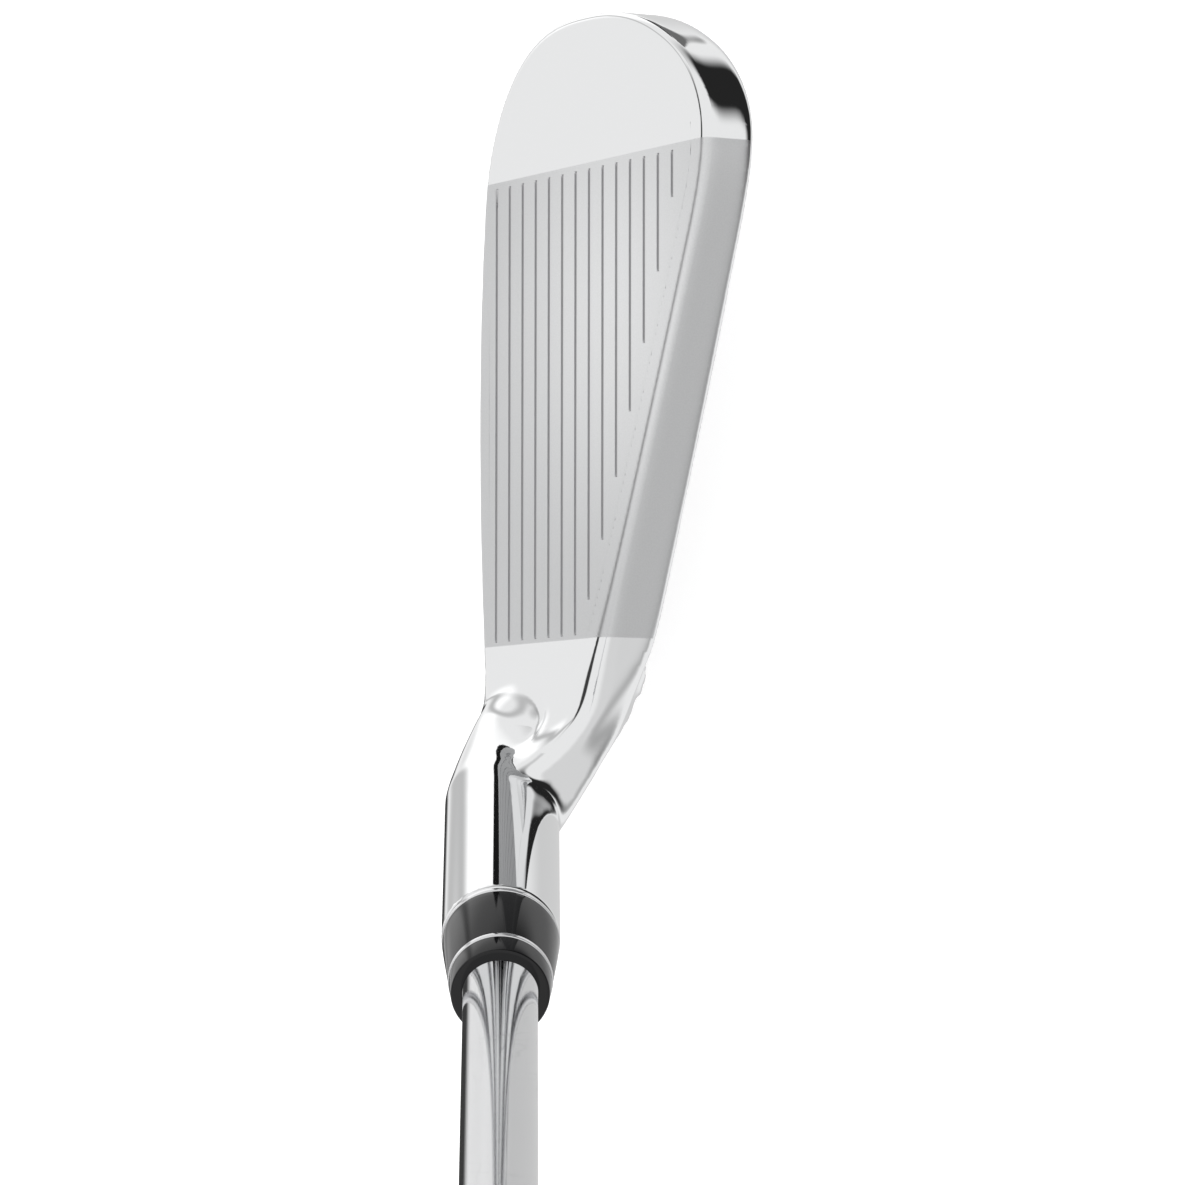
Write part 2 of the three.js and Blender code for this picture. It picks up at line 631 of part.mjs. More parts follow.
function grip() {
  const middle = (GRIP_MOUTH + BUTT_END) / 2;
  return turned([
    [GRIP_BORE + GRIP_LIP_WALL - GRIP_EDGE, GRIP_MOUTH],
    [GRIP_BORE + GRIP_LIP_WALL, GRIP_MOUTH + GRIP_EDGE],
    [GRIP_BORE + GRIP_LIP_WALL, GRIP_MOUTH + GRIP_LIP],
    [GRIP_BORE + GRIP_LOW_WALL, GRIP_MOUTH + 2 * GRIP_LIP],
    [GRIP_BORE + GRIP_MID_WALL, middle],
    [GRIP_BORE + GRIP_HIGH_WALL, BUTT_END - GRIP_FLARE],
    [GRIP_BORE + GRIP_FLARE_WALL, BUTT_END],
    [GRIP_BORE, BUTT_END],
    [GRIP_BORE, GRIP_MOUTH],
    [GRIP_BORE + GRIP_LIP_WALL - GRIP_EDGE, GRIP_MOUTH],
  ]);
}

function gripCap() {
  const radius = GRIP_BORE + GRIP_FLARE_WALL;
  const profile = [[radius, BUTT_END]];
  for (let i = 0; i <= ARC_STEPS; i += 1) {
    const angle = (Math.PI / 2) * i / ARC_STEPS;
    profile.push([
      radius - CAP_RADIUS * (1 - Math.cos(angle)),
      CLUB_LENGTH - CAP_RADIUS * (1 - Math.sin(angle)),
    ]);
  }
  profile.push([VENT_OD / 2, CLUB_LENGTH], [VENT_OD / 2, BUTT_END], [radius, BUTT_END]);
  return turned(profile);
}

// ---- assembly ------------------------------------------------------------------------------
const CHROME = { color: 0xc9ccd0, metalness: 1, roughness: 0.15 };
const SATIN = { color: 0xb9bcbf, metalness: 1, roughness: 0.45 };
const STEEL = { color: 0xd4d7da, metalness: 1, roughness: 0.1 };
const TUNGSTEN = { color: 0x6b6e72, metalness: 1, roughness: 0.5 };
const BRASS = { color: 0xb08d4f, metalness: 1, roughness: 0.4 };
const SILVER = { color: 0xe2e4e6, metalness: 1, roughness: 0.2 };
const BLACK = { color: 0x121214, metalness: 0, roughness: 0.2 };
const URETHANE = { color: 0x3c4046, metalness: 0, roughness: 0.7 };
const FOAM = { color: 0x2a2b2d, metalness: 0, roughness: 0.9 };
const ALLOY = { color: 0x54585d, metalness: 1, roughness: 0.4 };
const PAPER = { color: 0xb8ad96, metalness: 0, roughness: 0.9 };
const RUBBER = { color: 0x1b1c1d, metalness: 0, roughness: 0.8 };

const group = new THREE.Group();
group.name = "iron_golf_club";

function add(name, piece, finish) {
  const geometry = piece.isBufferGeometry ? geometryOf(solid(piece)) : geometryOf(piece);
  geometry.translate(-REST_X, -REST_Y, 0);
  geometry.computeVertexNormals();
  const mesh = new THREE.Mesh(geometry, new THREE.MeshStandardMaterial(finish));
  mesh.name = name;
  group.add(mesh);
}

add("head_body", headBody(), CHROME);
add("face_plate", facePlate(), SATIN);
add("sole_weight", weightBox(0, 0), TUNGSTEN);
add("damping_pad", dampingPad(), URETHANE);
add("badge_tape", badgeTape(), FOAM);
add("badge", badge(), ALLOY);
add("badge_inlay", badgeInlay(), SILVER);
add("ferrule", ferrule(), BLACK);
add("ferrule_ring_upper", ferruleRing(0), SILVER);
add("ferrule_ring_lower", ferruleRing(LOWER_RING_TOP - RING_WIDTH), SILVER);
add("shaft", shaft(), STEEL);
add("tip_plug", tipPlug(), BRASS);
add("grip_tape", gripTape(), PAPER);
add("grip", grip(), RUBBER);
add("grip_cap", gripCap(), RUBBER);

export default group;
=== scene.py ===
"""Iron golf club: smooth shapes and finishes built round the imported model, with its studio."""

import logging
import math
from dataclasses import dataclass, field
from enum import Enum
from typing import Callable

import bmesh
import bpy
import numpy as np
from mathutils import Matrix, Vector


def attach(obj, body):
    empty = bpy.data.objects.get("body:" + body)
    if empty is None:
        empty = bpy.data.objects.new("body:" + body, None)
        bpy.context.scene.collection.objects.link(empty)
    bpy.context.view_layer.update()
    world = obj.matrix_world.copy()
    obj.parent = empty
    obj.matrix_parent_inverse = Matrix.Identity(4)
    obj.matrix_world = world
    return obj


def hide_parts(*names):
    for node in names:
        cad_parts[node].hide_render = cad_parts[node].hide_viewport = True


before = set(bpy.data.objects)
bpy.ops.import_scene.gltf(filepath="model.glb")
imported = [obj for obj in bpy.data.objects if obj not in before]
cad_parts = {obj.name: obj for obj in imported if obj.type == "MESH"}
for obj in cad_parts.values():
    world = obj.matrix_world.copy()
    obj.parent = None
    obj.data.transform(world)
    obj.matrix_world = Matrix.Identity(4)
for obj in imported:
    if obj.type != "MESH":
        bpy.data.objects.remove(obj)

LOG = logging.getLogger("iron")
Array = np.ndarray
Colour = tuple[float, float, float]
Range = tuple[float, float]
Material = bpy.types.Material
Output = bpy.types.NodeSocket

MM = 0.001
LOFT = math.radians(29)
LIE = math.radians(62.5)
FACE_OFFSET = 4.36  # from the shaft axis to the face's plane at the ground, in millimetres
REST = np.array([-40.0, 5.5, 0.0])  # from the head's frame to the part's, in millimetres
BODY = "root"


class Slot(Enum):
    """The club's finishes, by the name of their slot."""

    HEAD_CHROME = "head_chrome"
    FACE_SATIN = "face_satin"
    TUNGSTEN = "tungsten"
    URETHANE = "urethane"
    FOAM_TAPE = "foam_tape"
    BADGE_ALLOY = "badge_alloy"
    BADGE_BRIGHT = "badge_bright"
    FERRULE_BLACK = "ferrule_black"
    RING_SILVER = "ring_silver"
    SHAFT_CHROME = "shaft_chrome"
    PLUG_BRASS = "plug_brass"
    GRIP_TAPE = "grip_tape"
    GRIP_RUBBER = "grip_rubber"
    CAP_RUBBER = "cap_rubber"


# ---- frames ----------------------------------------------------------------------------------
@dataclass(frozen=True)
class Axes:
    """A right-handed set of axes in the head's frame, in millimetres."""

    origin: tuple[float, float, float]
    first: tuple[float, float, float]
    second: tuple[float, float, float]
    third: tuple[float, float, float]

    def matrix(self) -> Array:
        """The three axes as rows."""
        return np.array([self.first, self.second, self.third])

    def read(self, points: Array) -> Array:
        """Coordinates in these axes of points in the head's frame."""
        return (points - np.array(self.origin)) @ self.matrix().T

    def place(self, coords: Array) -> Array:
        """Points in the head's frame of coordinates in these axes."""
        return coords @ self.matrix() + np.array(self.origin)


FACE = Axes(
    (0.0, FACE_OFFSET, 0.0),
    (1.0, 0.0, 0.0),
    (0.0, -math.sin(LOFT), math.cos(LOFT)),
    (0.0, -math.cos(LOFT), -math.sin(LOFT)),
)
SHAFT = Axes(
    (0.0, 0.0, 0.0),
    (math.sin(LIE), 0.0, math.cos(LIE)),
    (0.0, 1.0, 0.0),
    (-math.cos(LIE), 0.0, math.sin(LIE)),
)


def smoothstep(value: Array, low: float, high: float) -> Array:
    """Rises from 0 at low to 1 at high along 3t^2 - 2t^3."""
    part = np.clip((value - low) / (high - low), 0.0, 1.0)
    return part * part * (3.0 - 2.0 * part)


def mix(start: Array, end: Array, part: Array) -> Array:
    """Straight blend from start to end."""
    return start + (end - start) * part


# ---- meshes ----------------------------------------------------------------------------------
def grid_faces(rows: int, cols: int, wrap: bool = False) -> Array:
    """Quads of a grid of points stored row by row.

    Args:
        rows: Number of rows.
        cols: Number of points in a row.
        wrap: Whether the last point of a row joins the first.

    Returns:
        One row of four indices for each quad.
    """
    index = np.arange(rows * cols).reshape(rows, cols)
    if wrap:
        index = np.concatenate([index, index[:, :1]], axis=1)
    return np.stack(
        [index[:-1, :-1], index[:-1, 1:], index[1:, 1:], index[1:, :-1]], axis=-1
    ).reshape(-1, 4)


def make_mesh(name: str, points: Array, faces: list[Array]) -> bpy.types.Mesh:
    """A mesh from points in the head's frame in millimetres, smooth and merged.

    Args:
        name: The mesh's name.
        points: One row for each point.
        faces: Arrays of quads or triangles.

    Returns:
        The mesh, in metres in the part's frame.
    """
    mesh = bpy.data.meshes.new(name)
    metres = (np.asarray(points, dtype=np.float64) + REST) * MM
    corners = np.concatenate([f.reshape(-1) for f in faces])
    sizes = np.concatenate([np.full(len(f), f.shape[1]) for f in faces])
    mesh.vertices.add(len(metres))
    mesh.vertices.foreach_set("co", metres.astype(np.float32).ravel())
    mesh.loops.add(len(corners))
    mesh.loops.foreach_set("vertex_index", corners.astype(np.int32))
    mesh.polygons.add(len(sizes))
    mesh.polygons.foreach_set("loop_start", (np.cumsum(sizes) - sizes).astype(np.int32))
    mesh.polygons.foreach_set("loop_total", sizes.astype(np.int32))
    mesh.update(calc_edges=True)
    mesh.validate()
    mesh.polygons.foreach_set("use_smooth", np.ones(len(mesh.polygons), dtype=bool))
    return mesh


def mark(mesh: bpy.types.Mesh, name: str, values: Array) -> None:
    """Gives each point of a mesh a number, for a finish to read by its name."""
    layer = mesh.attributes.new(name, "FLOAT", "POINT")
    layer.data.foreach_set("value", values.astype(np.float32))


@dataclass
class Piece:
    """One visible piece: its mesh, the slot of its finish and the CAD nodes it stands for."""

    name: str
    mesh: bpy.types.Mesh
    slot: Slot
    nodes: tuple[str, ...]
    mirrored: bool = True

    def install(self, finishes: dict[Slot, Material]) -> None:
        """Puts the piece in the scene, on the part's body, in place of its CAD nodes."""
        obj = bpy.data.objects.new(self.name, self.mesh)
        bpy.context.collection.objects.link(obj)
        obj.data.materials.append(finishes[self.slot])
        obj.visible_glossy = self.mirrored
        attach(obj, BODY)
        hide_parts(*self.nodes)
        LOG.info("%s: %d faces", self.name, len(self.mesh.polygons))


def sharpen(mesh: bpy.types.Mesh, degrees: float = 35.0) -> None:
    """Edges that turn more than an angle are shaded sharp."""
    mesh.set_sharp_from_angle(angle=math.radians(degrees))


# ---- solids as distances ---------------------------------------------------------------------
@dataclass
class Field:
    """Distances from a solid at many points, negative inside, and the outward directions."""

    value: Array
    normal: Array

    def meet(self, other: "Field", radius: Array) -> "Field":
        """Common part with another solid, its edge rounded by a rolling ball.

        With both surfaces moved in by the radius, a point beyond both is measured from their
        common line, in the skew axes that the two normals make, and any other point from the
        nearer surface; the radius is then taken off again. The new normal is the same mixture
        of the two old ones.

        Args:
            other: The second solid.
            radius: Radius of the rounding.

        Returns:
            The common part.
        """
        left, right = self.value + radius, other.value + radius
        cosine = np.clip((self.normal * other.normal).sum(axis=1), -0.9, 0.9995)
        first, second = left - cosine * right, right - cosine * left
        corner = (first > 0) & (second > 0)
        square = (left**2 + right**2 - 2 * cosine * left * right) / (1 - cosine**2)
        value = np.where(corner, np.sqrt(np.maximum(square, 0)), np.maximum(left, right)) - radius
        near = np.where((left > right)[:, None], self.normal, other.normal)
        mixed = self.normal * first[:, None] + other.normal * second[:, None]
        mixed /= np.maximum(np.linalg.norm(mixed, axis=1), 1e-9)[:, None]
        return Field(value, np.where(corner[:, None], mixed, near))

    def join(self, other: "Field", radius: Array) -> "Field":
        """Union with another solid, the inner corner filled by a rolling ball."""
        return ~((~self).meet(~other, radius))

    def __invert__(self) -> "Field":
        """Everything outside the solid."""
        return Field(-self.value, -self.normal)

    @staticmethod
    def plane(coords: Array, point: tuple[float, ...], normal: tuple[float, ...]) -> "Field":
        """Half space behind a plane."""
        out = np.array(normal) / np.linalg.norm(normal)
        return Field((coords - np.array(point)) @ out, np.broadcast_to(out, coords.shape))


def surface_nets(values: Array, origin: Array, step: float) -> tuple[Array, Array]:
    """Closed surface where sampled distances change sign.

    Each cell that the surface crosses gets one point, the mean of the crossings on its
    edges, and each crossed edge gets one quad through the four cells round it.

    Args:
        values: Distances on a regular grid.
        origin: Place of the grid's first corner.
        step: Spacing of the grid.

    Returns:
        The points and the quads.
    """
    inside = values < 0
    cells = tuple(n - 1 for n in values.shape)
    total = np.zeros(cells + (3,), dtype=np.float32)
    count = np.zeros(cells, dtype=np.float32)
    edges = []
    for axis in range(3):
        low = [slice(None)] * 3
        high = [slice(None)] * 3
        low[axis], high[axis] = slice(None, -1), slice(1, None)
        low, high = tuple(low), tuple(high)
        crossed = inside[low] != inside[high]
        at = np.stack(np.nonzero(crossed), axis=1)
        start, end = values[low][crossed], values[high][crossed]
        point = at.astype(np.float32)
        point[:, axis] += start / (start - end)
        others = [n for n in range(3) if n != axis]
        for first in (0, 1):
            for second in (0, 1):
                cell = at.copy()
                cell[:, others[0]] -= first
                cell[:, others[1]] -= second
                flat = np.ravel_multi_index(cell.T, cells, mode="clip")
                for n in range(3):
                    total[..., n] += np.bincount(
                        flat, weights=point[:, n], minlength=count.size
                    ).reshape(cells).astype(np.float32)
                count += np.bincount(flat, minlength=count.size).reshape(cells)
        edges.append((axis, others, at, inside[low][crossed]))
    active = count > 0
    number = np.cumsum(active.ravel()).reshape(cells) - 1
    points = total[active] / count[active][:, None]
    quads = []
    for axis, others, at, leaving in edges:
        ring = []
        for first, second in ((1, 1), (0, 1), (0, 0), (1, 0)):
            cell = at.copy()
            cell[:, others[0]] -= first
            cell[:, others[1]] -= second
            ring.append(number[tuple(cell.T)])
        quad = np.stack(ring, axis=1)
        flip = leaving if axis == 1 else ~leaving
        quad[flip] = quad[flip][:, ::-1]
        quads.append(quad)
    return points * step + origin, np.concatenate(quads)


def carve(
    distance: Callable[[Array], Array], low: Array, high: Array, step: float, block: int = 4
) -> tuple[Array, Array, Array]:
    """Smooth skin of a solid given by its distance function.

    Blocks that lie well clear of the surface keep the distance at their middle. The net's
    points then step along the gradient on to the surface.

    Args:
        distance: Distance from the solid, negative inside, at rows of coordinates.
        low: Lowest corner of the sampled box.
        high: Highest corner of the sampled box.
        step: Spacing of the samples.
        block: Samples along a block's side.

    Returns:
        The points, the quads and the outward normals at the points.
    """
    blocks = np.ceil((high - low) / (step * block)).astype(int)
    shape = tuple(blocks * block)
    side = step * block
    middles = np.stack(np.meshgrid(
        *[low[n] + side * (np.arange(blocks[n]) + 0.5) - step / 2 for n in range(3)],
        indexing="ij"), axis=-1)
    rough = distance(middles.reshape(-1, 3)).reshape(blocks)
    near = np.abs(rough) < side * 1.1  # more than a block's half diagonal
    values = rough.astype(np.float32)
    for axis in range(3):
        values = np.repeat(values, block, axis=axis)
        near = np.repeat(near, block, axis=axis)
    at = np.stack(np.nonzero(near), axis=1)
    values[near] = distance(at * step + low).astype(np.float32)
    points, quads = surface_nets(values, low, step)

    def slope(spots: Array) -> tuple[Array, Array]:
        """Distance and its gradient by central differences."""
        reach = 0.01
        columns = []
        for n in range(3):
            shift = np.zeros(3)
            shift[n] = reach
            columns.append((distance(spots + shift) - distance(spots - shift)) / (2 * reach))
        return distance(spots), np.stack(columns, axis=1)

    for _ in range(3):
        height, gradient = slope(points)
        square = np.maximum((gradient**2).sum(axis=1), 0.2)  # no long steps where it is flat
        move = np.clip(height / square, -step / 2, step / 2)
        points = points - gradient * move[:, None]
    _, gradient = slope(points)
    normals = gradient / np.maximum(np.linalg.norm(gradient, axis=1), 1e-6)[:, None]
    LOG.info("carved %s samples into %d points", shape, len(points))
    return points, quads, normals


def gather(index: Array, rows: Array, count: int) -> Array:
    """Sum of the rows that belong to each index."""
    return np.stack([np.bincount(index, rows[:, n], count) for n in range(3)], axis=1)


def relax(points: Array, quads: Array, weight: Array, rounds: int) -> Array:
    """Evens out a net: each point steps towards its neighbours' mean, then a little more back.

    Args:
        points: One row for each point of a closed net.
        quads: The net's quads.
        weight: Share of the step that each point takes.
        rounds: Number of pairs of steps.

    Returns:
        The moved points.
    """
    start = quads.ravel()
    end = np.roll(quads, -1, axis=1).ravel()
    total = len(points)
    count = np.bincount(start, minlength=total).astype(float)
    for _ in range(rounds):
        for share in (0.60, -0.61):
            mean = gather(start, points[end], total) / count[:, None]
            points = points + (share * weight)[:, None] * (mean - points)
    return points


def net_normals(points: Array, quads: Array, rounds: int) -> Array:
    """Mean direction of the quads round each point, evened out over the neighbours."""
    a, b, c, d = (points[quads[:, n]] for n in range(4))
    cross = np.cross(c - a, d - b)
    start, end = quads.ravel(), np.roll(quads, -1, axis=1).ravel()
    normals = gather(start, np.repeat(cross, 4, axis=0), len(points))
    for _ in range(rounds + 1):
        normals /= np.maximum(np.linalg.norm(normals, axis=1), 1e-12)[:, None]
        normals = normals + gather(start, normals[end], len(points)) / 4
    return normals / np.linalg.norm(normals, axis=1)[:, None]


# ---- plane curves ----------------------------------------------------------------------------
@dataclass
class Curve:
    """A plane curve, sampled evenly from its Bezier arcs, with a quick search for the foot."""

    arcs: tuple[tuple[float, ...], ...]
    closed: bool = True
    pitch: float = 0.1
    reach: float = 12.0
    cell: float = 0.5
    arc_samples: int = 400

    def __post_init__(self) -> None:
        """Samples the arcs and stores points, tangents and outward normals."""
        fine = np.linspace(0, 1, self.arc_samples, endpoint=False)[:, None]
        runs = []
        for arc in self.arcs:
            p = np.array(arc, dtype=float).reshape(-1, 2)
            runs.append(
                p[0] * (1 - fine) ** 3 + p[1] * 3 * fine * (1 - fine) ** 2
                + p[2] * 3 * fine**2 * (1 - fine) + p[3] * fine**3
            )
        end = runs[0][:1] if self.closed else np.array([self.arcs[-1][-2:]], dtype=float)
        path = np.concatenate(runs + [end])
        length = np.concatenate([[0], np.cumsum(np.linalg.norm(np.diff(path, axis=0), axis=1))])
        count = int(length[-1] / self.pitch)
        even = np.arange(count) * length[-1] / (count if self.closed else count - 1)
        self.step = even[1]
        self.points = np.stack([np.interp(even, length, path[:, n]) for n in (0, 1)], axis=1)
        if self.closed:
            ahead = np.roll(self.points, -2, axis=0) - np.roll(self.points, 2, axis=0)
            for _ in range(4):
                ahead = (ahead + np.roll(ahead, 1, axis=0) + np.roll(ahead, -1, axis=0)) / 3
        else:
            ahead = np.gradient(self.points, axis=0)
        self.tangents = ahead / np.linalg.norm(ahead, axis=1)[:, None]
        self.normals = np.stack([self.tangents[:, 1], -self.tangents[:, 0]], axis=1)
        self.corner = self.points.min(axis=0) - self.reach
        size = self.points.max(axis=0) + self.reach - self.corner
        self.cells = (size / self.cell).astype(int) + 1
        u = self.corner[0] + self.cell * (np.arange(self.cells[0]) + 0.5)
        v = self.corner[1] + self.cell * (np.arange(self.cells[1]) + 0.5)
        self.near = np.stack([
            ((at - self.points[:, 0]) ** 2 + (v[:, None] - self.points[None, :, 1]) ** 2)
            .argmin(axis=1) for at in u])

    def foot(self, u: Array, v: Array) -> tuple[Array, Array, Array, Array, Array]:
        """Foot of each point on the curve.

        The nearest sample comes from a coarse grid. Steps along the curve, each the part of
        the gap that lies along the tangent, then bring the foot under the point.

        Args:
            u: First coordinate.
            v: Second coordinate.

        Returns:
            The foot as a sample number, the gap's two parts and the normal's two parts.
        """
        i = np.clip(((u - self.corner[0]) / self.cell).astype(int), 0, self.cells[0] - 1)
        j = np.clip(((v - self.corner[1]) / self.cell).astype(int), 0, self.cells[1] - 1)
        foot = self.near[i, j].astype(float)
        count = len(self.points)
        for _ in range(4):
            base = np.floor(foot).astype(int)
            if not self.closed:
                base = np.clip(base, 0, count - 2)
            part = foot - base
            a, b = base % count, (base + 1) % count
            px = mix(self.points[a, 0], self.points[b, 0], part)
            py = mix(self.points[a, 1], self.points[b, 1], part)
            nx = mix(self.normals[a, 0], self.normals[b, 0], part)
            ny = mix(self.normals[a, 1], self.normals[b, 1], part)
            dx, dy = u - px, v - py
            bend = (self.normals[b, 1] * self.normals[a, 0]
                    - self.normals[b, 0] * self.normals[a, 1]) / self.step
            along = nx * dy - ny * dx
            out = nx * dx + ny * dy
            foot = foot + np.clip(along / np.maximum(1 + bend * out, 0.3) / self.step, -8, 8)
            if not self.closed:
                foot = np.clip(foot, 0, count - 1)
        return foot, dx, dy, nx, ny

    def measure(self, u: Array, v: Array) -> tuple[Array, Array, Array]:
        """Signed distance to a closed curve, negative inside, and the normal at the foot."""
        _, dx, dy, nx, ny = self.foot(u, v)
        return nx * dx + ny * dy, nx, ny

    def spans(self, inset: float, rows: Array) -> tuple[Array, Array]:
        """Lowest and highest first coordinate of the curve, drawn in, at each height."""
        ring = self.points - self.normals * inset
        ahead = np.roll(ring, -1, axis=0)
        rise = ahead[:, 1] - ring[:, 1]
        rise = np.where(np.abs(rise) < 1e-9, 1e-9, rise)
        left, right = np.empty(len(rows)), np.empty(len(rows))
        for n, height in enumerate(rows):
            hit = (ring[:, 1] - height) * (ahead[:, 1] - height) <= 0
            at = (ring[:, 0] + (ahead[:, 0] - ring[:, 0]) * (height - ring[:, 1]) / rise)[hit]
            left[n], right[n] = at.min(), at.max()
        return left, right


TOE_ARCS = (
    (12, 4.1, 30, 2.6, 50, 2.2, 69, 4.3),
    (69, 4.3, 81, 5.7, 90.7, 15, 90.7, 30),
    (90.7, 30, 90.7, 39, 88.3, 45.5, 85.5, 50.5),
    (85.5, 50.5, 82.2, 56.4, 77.5, 60.1, 72.3, 60.1),
    (72.3, 60.1, 67.6, 60.1, 62.6, 57.9, 58, 55.9),
    (58, 55.9, 42, 49, 26, 41.9, 10, 34.2),
)
HEEL_ARCS = (
    (10, 34.2, 3, 30.8, -4, 27.6, -11, 24.6),
    (-11, 24.6, -14, 23.3, -12.5, 21, -11.2, 19),
    (-11.2, 19, -8.5, 14.8, -5.5, 10, -1, 7),
    (-1, 7, 3, 4.6, 8, 4.4, 12, 4.1),
)


# ---- finishes --------------------------------------------------------------------------------
def rgba(colour: Colour) -> tuple[float, float, float, float]:
    """A colour with its opacity."""
    return (*colour, 1.0)


def grey(value: float) -> tuple[float, float, float, float]:
    """A neutral colour."""
    return (value, value, value, 1.0)


def socket(group: bpy.types.NodeTree, name: str, kind: str, out: bool,
           value: object = None) -> None:
    """Adds a named input or output to a node group."""
    item = group.interface.new_socket(
        name=name, in_out="OUTPUT" if out else "INPUT", socket_type=f"NodeSocket{kind}")
    if value is not None:
        item.default_value = value


class Effect:
    """A shader node group that several finishes share."""

    title = ""

    @classmethod
    def tree(cls) -> bpy.types.NodeTree:
        """The group, built the first time that it is asked for."""
        found = bpy.data.node_groups.get(cls.title)
        if found:
            return found
        group = bpy.data.node_groups.new(cls.title, "ShaderNodeTree")
        cls.fill(group)
        return group

    @classmethod
    def fill(cls, group: bpy.types.NodeTree) -> None:
        """Adds the group's sockets, nodes and links."""
        raise NotImplementedError


class Graph:
    """A small helper that adds and links nodes in a tree."""

    def __init__(self, tree: bpy.types.NodeTree) -> None:
        """Keeps the tree."""
        self.tree = tree

    def node(self, kind: str, **settings: object) -> bpy.types.Node:
        """Adds a node; settings name its properties."""
        made = self.tree.nodes.new(f"ShaderNode{kind}")
        for key, value in settings.items():
            setattr(made, key, value)
        return made

    def link(self, start: Output, end: Output) -> None:
        """Links an output to an input."""
        self.tree.links.new(start, end)

    def feed(self, value: object, end: Output) -> None:
        """Links a socket, or sets a plain value."""
        if isinstance(value, Output):
            self.link(value, end)
        else:
            end.default_value = value

    def math(self, operation: str, *values: object, clamp: bool = False) -> Output:
        """A Math node's output for its values."""
        made = self.node("Math", operation=operation, use_clamp=clamp)
        for n, value in enumerate(values):
            self.feed(value, made.inputs[n])
        return made.outputs[0]

    def blend(self, factor: object, a: object, b: object) -> Output:
        """A colour between two colours."""
        made = self.node("Mix", data_type="RGBA")
        self.feed(factor, made.inputs["Factor"])
        self.feed(a, made.inputs[6])
        self.feed(b, made.inputs[7])
        return made.outputs[2]

    def span(self, value: object, a: float, b: float, c: object, d: object,
             smooth: bool = False) -> Output:
        """Maps a value from the range a to b on to the range c to d."""
        made = self.node("MapRange", interpolation_type="SMOOTHSTEP" if smooth else "LINEAR")
        for n, item in enumerate((value, a, b, c, d)):
            self.feed(item, made.inputs[n])
        return made.outputs[0]

    def noise(self, vector: object, scale: object, detail: float = 3.0,
              roughness: float = 0.5) -> Output:
        """A noise value in object space."""
        made = self.node("TexNoise")
        self.feed(vector, made.inputs["Vector"])
        self.feed(scale, made.inputs["Scale"])
        made.inputs["Detail"].default_value = detail
        made.inputs["Roughness"].default_value = roughness
        return made.outputs[0]


class Grain(Effect):
    """Fine random grain, with a slower drift that varies the surface from place to place."""

    title = "grain"

    @classmethod
    def fill(cls, group: bpy.types.NodeTree) -> None:
        """Two noises, one fine and one slow, as a height and as a variation round zero."""
        socket(group, "Vector", "Vector", False)
        socket(group, "Fine Scale", "Float", False, 4000.0)
        socket(group, "Slow Scale", "Float", False, 60.0)
        socket(group, "Height", "Float", True)
        socket(group, "Drift", "Float", True)
        g = Graph(group)
        start = group.nodes.new("NodeGroupInput")
        end = group.nodes.new("NodeGroupOutput")
        fine = g.noise(start.outputs["Vector"], start.outputs["Fine Scale"], 2.0, 0.6)
        slow = g.noise(start.outputs["Vector"], start.outputs["Slow Scale"], 4.0, 0.55)
        g.link(fine, end.inputs["Height"])
        g.link(g.math("SUBTRACT", slow, 0.5), end.inputs["Drift"])


class Rub(Effect):
    """Fine handling marks: thin short scratches that cross in two directions."""

    title = "rub"

    @classmethod
    def fill(cls, group: bpy.types.NodeTree) -> None:
        """Two stretched noises, thresholded to thin lines and broken up by a third."""
        socket(group, "Vector", "Vector", False)
        socket(group, "Amount", "Float", False, 1.0)
        socket(group, "Marks", "Float", True)
        g = Graph(group)
        start = group.nodes.new("NodeGroupInput")
        end = group.nodes.new("NodeGroupOutput")
        lines = []
        for turn, stretch in ((0.5, (700.0, 30.0, 60.0)), (-0.8, (40.0, 800.0, 50.0))):
            aim = g.node("Mapping")
            g.link(start.outputs["Vector"], aim.inputs["Vector"])
            aim.inputs["Rotation"].default_value = (turn * 0.4, turn * 0.2, turn)
            aim.inputs["Scale"].default_value = stretch
            value = g.noise(aim.outputs[0], 1.0, 1.0, 0.4)
            gap = g.math("ABSOLUTE", g.math("SUBTRACT", value, 0.5))
            lines.append(g.span(gap, 0.0, 0.012, 1.0, 0.0))
        both = g.math("MAXIMUM", lines[0], lines[1])
        patch = g.span(g.noise(start.outputs["Vector"], 55.0, 2.0), 0.5, 0.7, 0.0, 1.0)
        g.link(g.math("MULTIPLY", g.math("MULTIPLY", both, patch), start.outputs["Amount"]),
               end.inputs["Marks"])


def group_node(graph: Graph, effect: type[Effect], **values: object) -> bpy.types.Node:
    """Places a shared effect in a material, with its own values by socket name."""
    made = graph.tree.nodes.new("ShaderNodeGroup")
    made.node_tree = effect.tree()
    for key, value in values.items():
        graph.feed(value, made.inputs[key.replace("_", " ")])
    return made


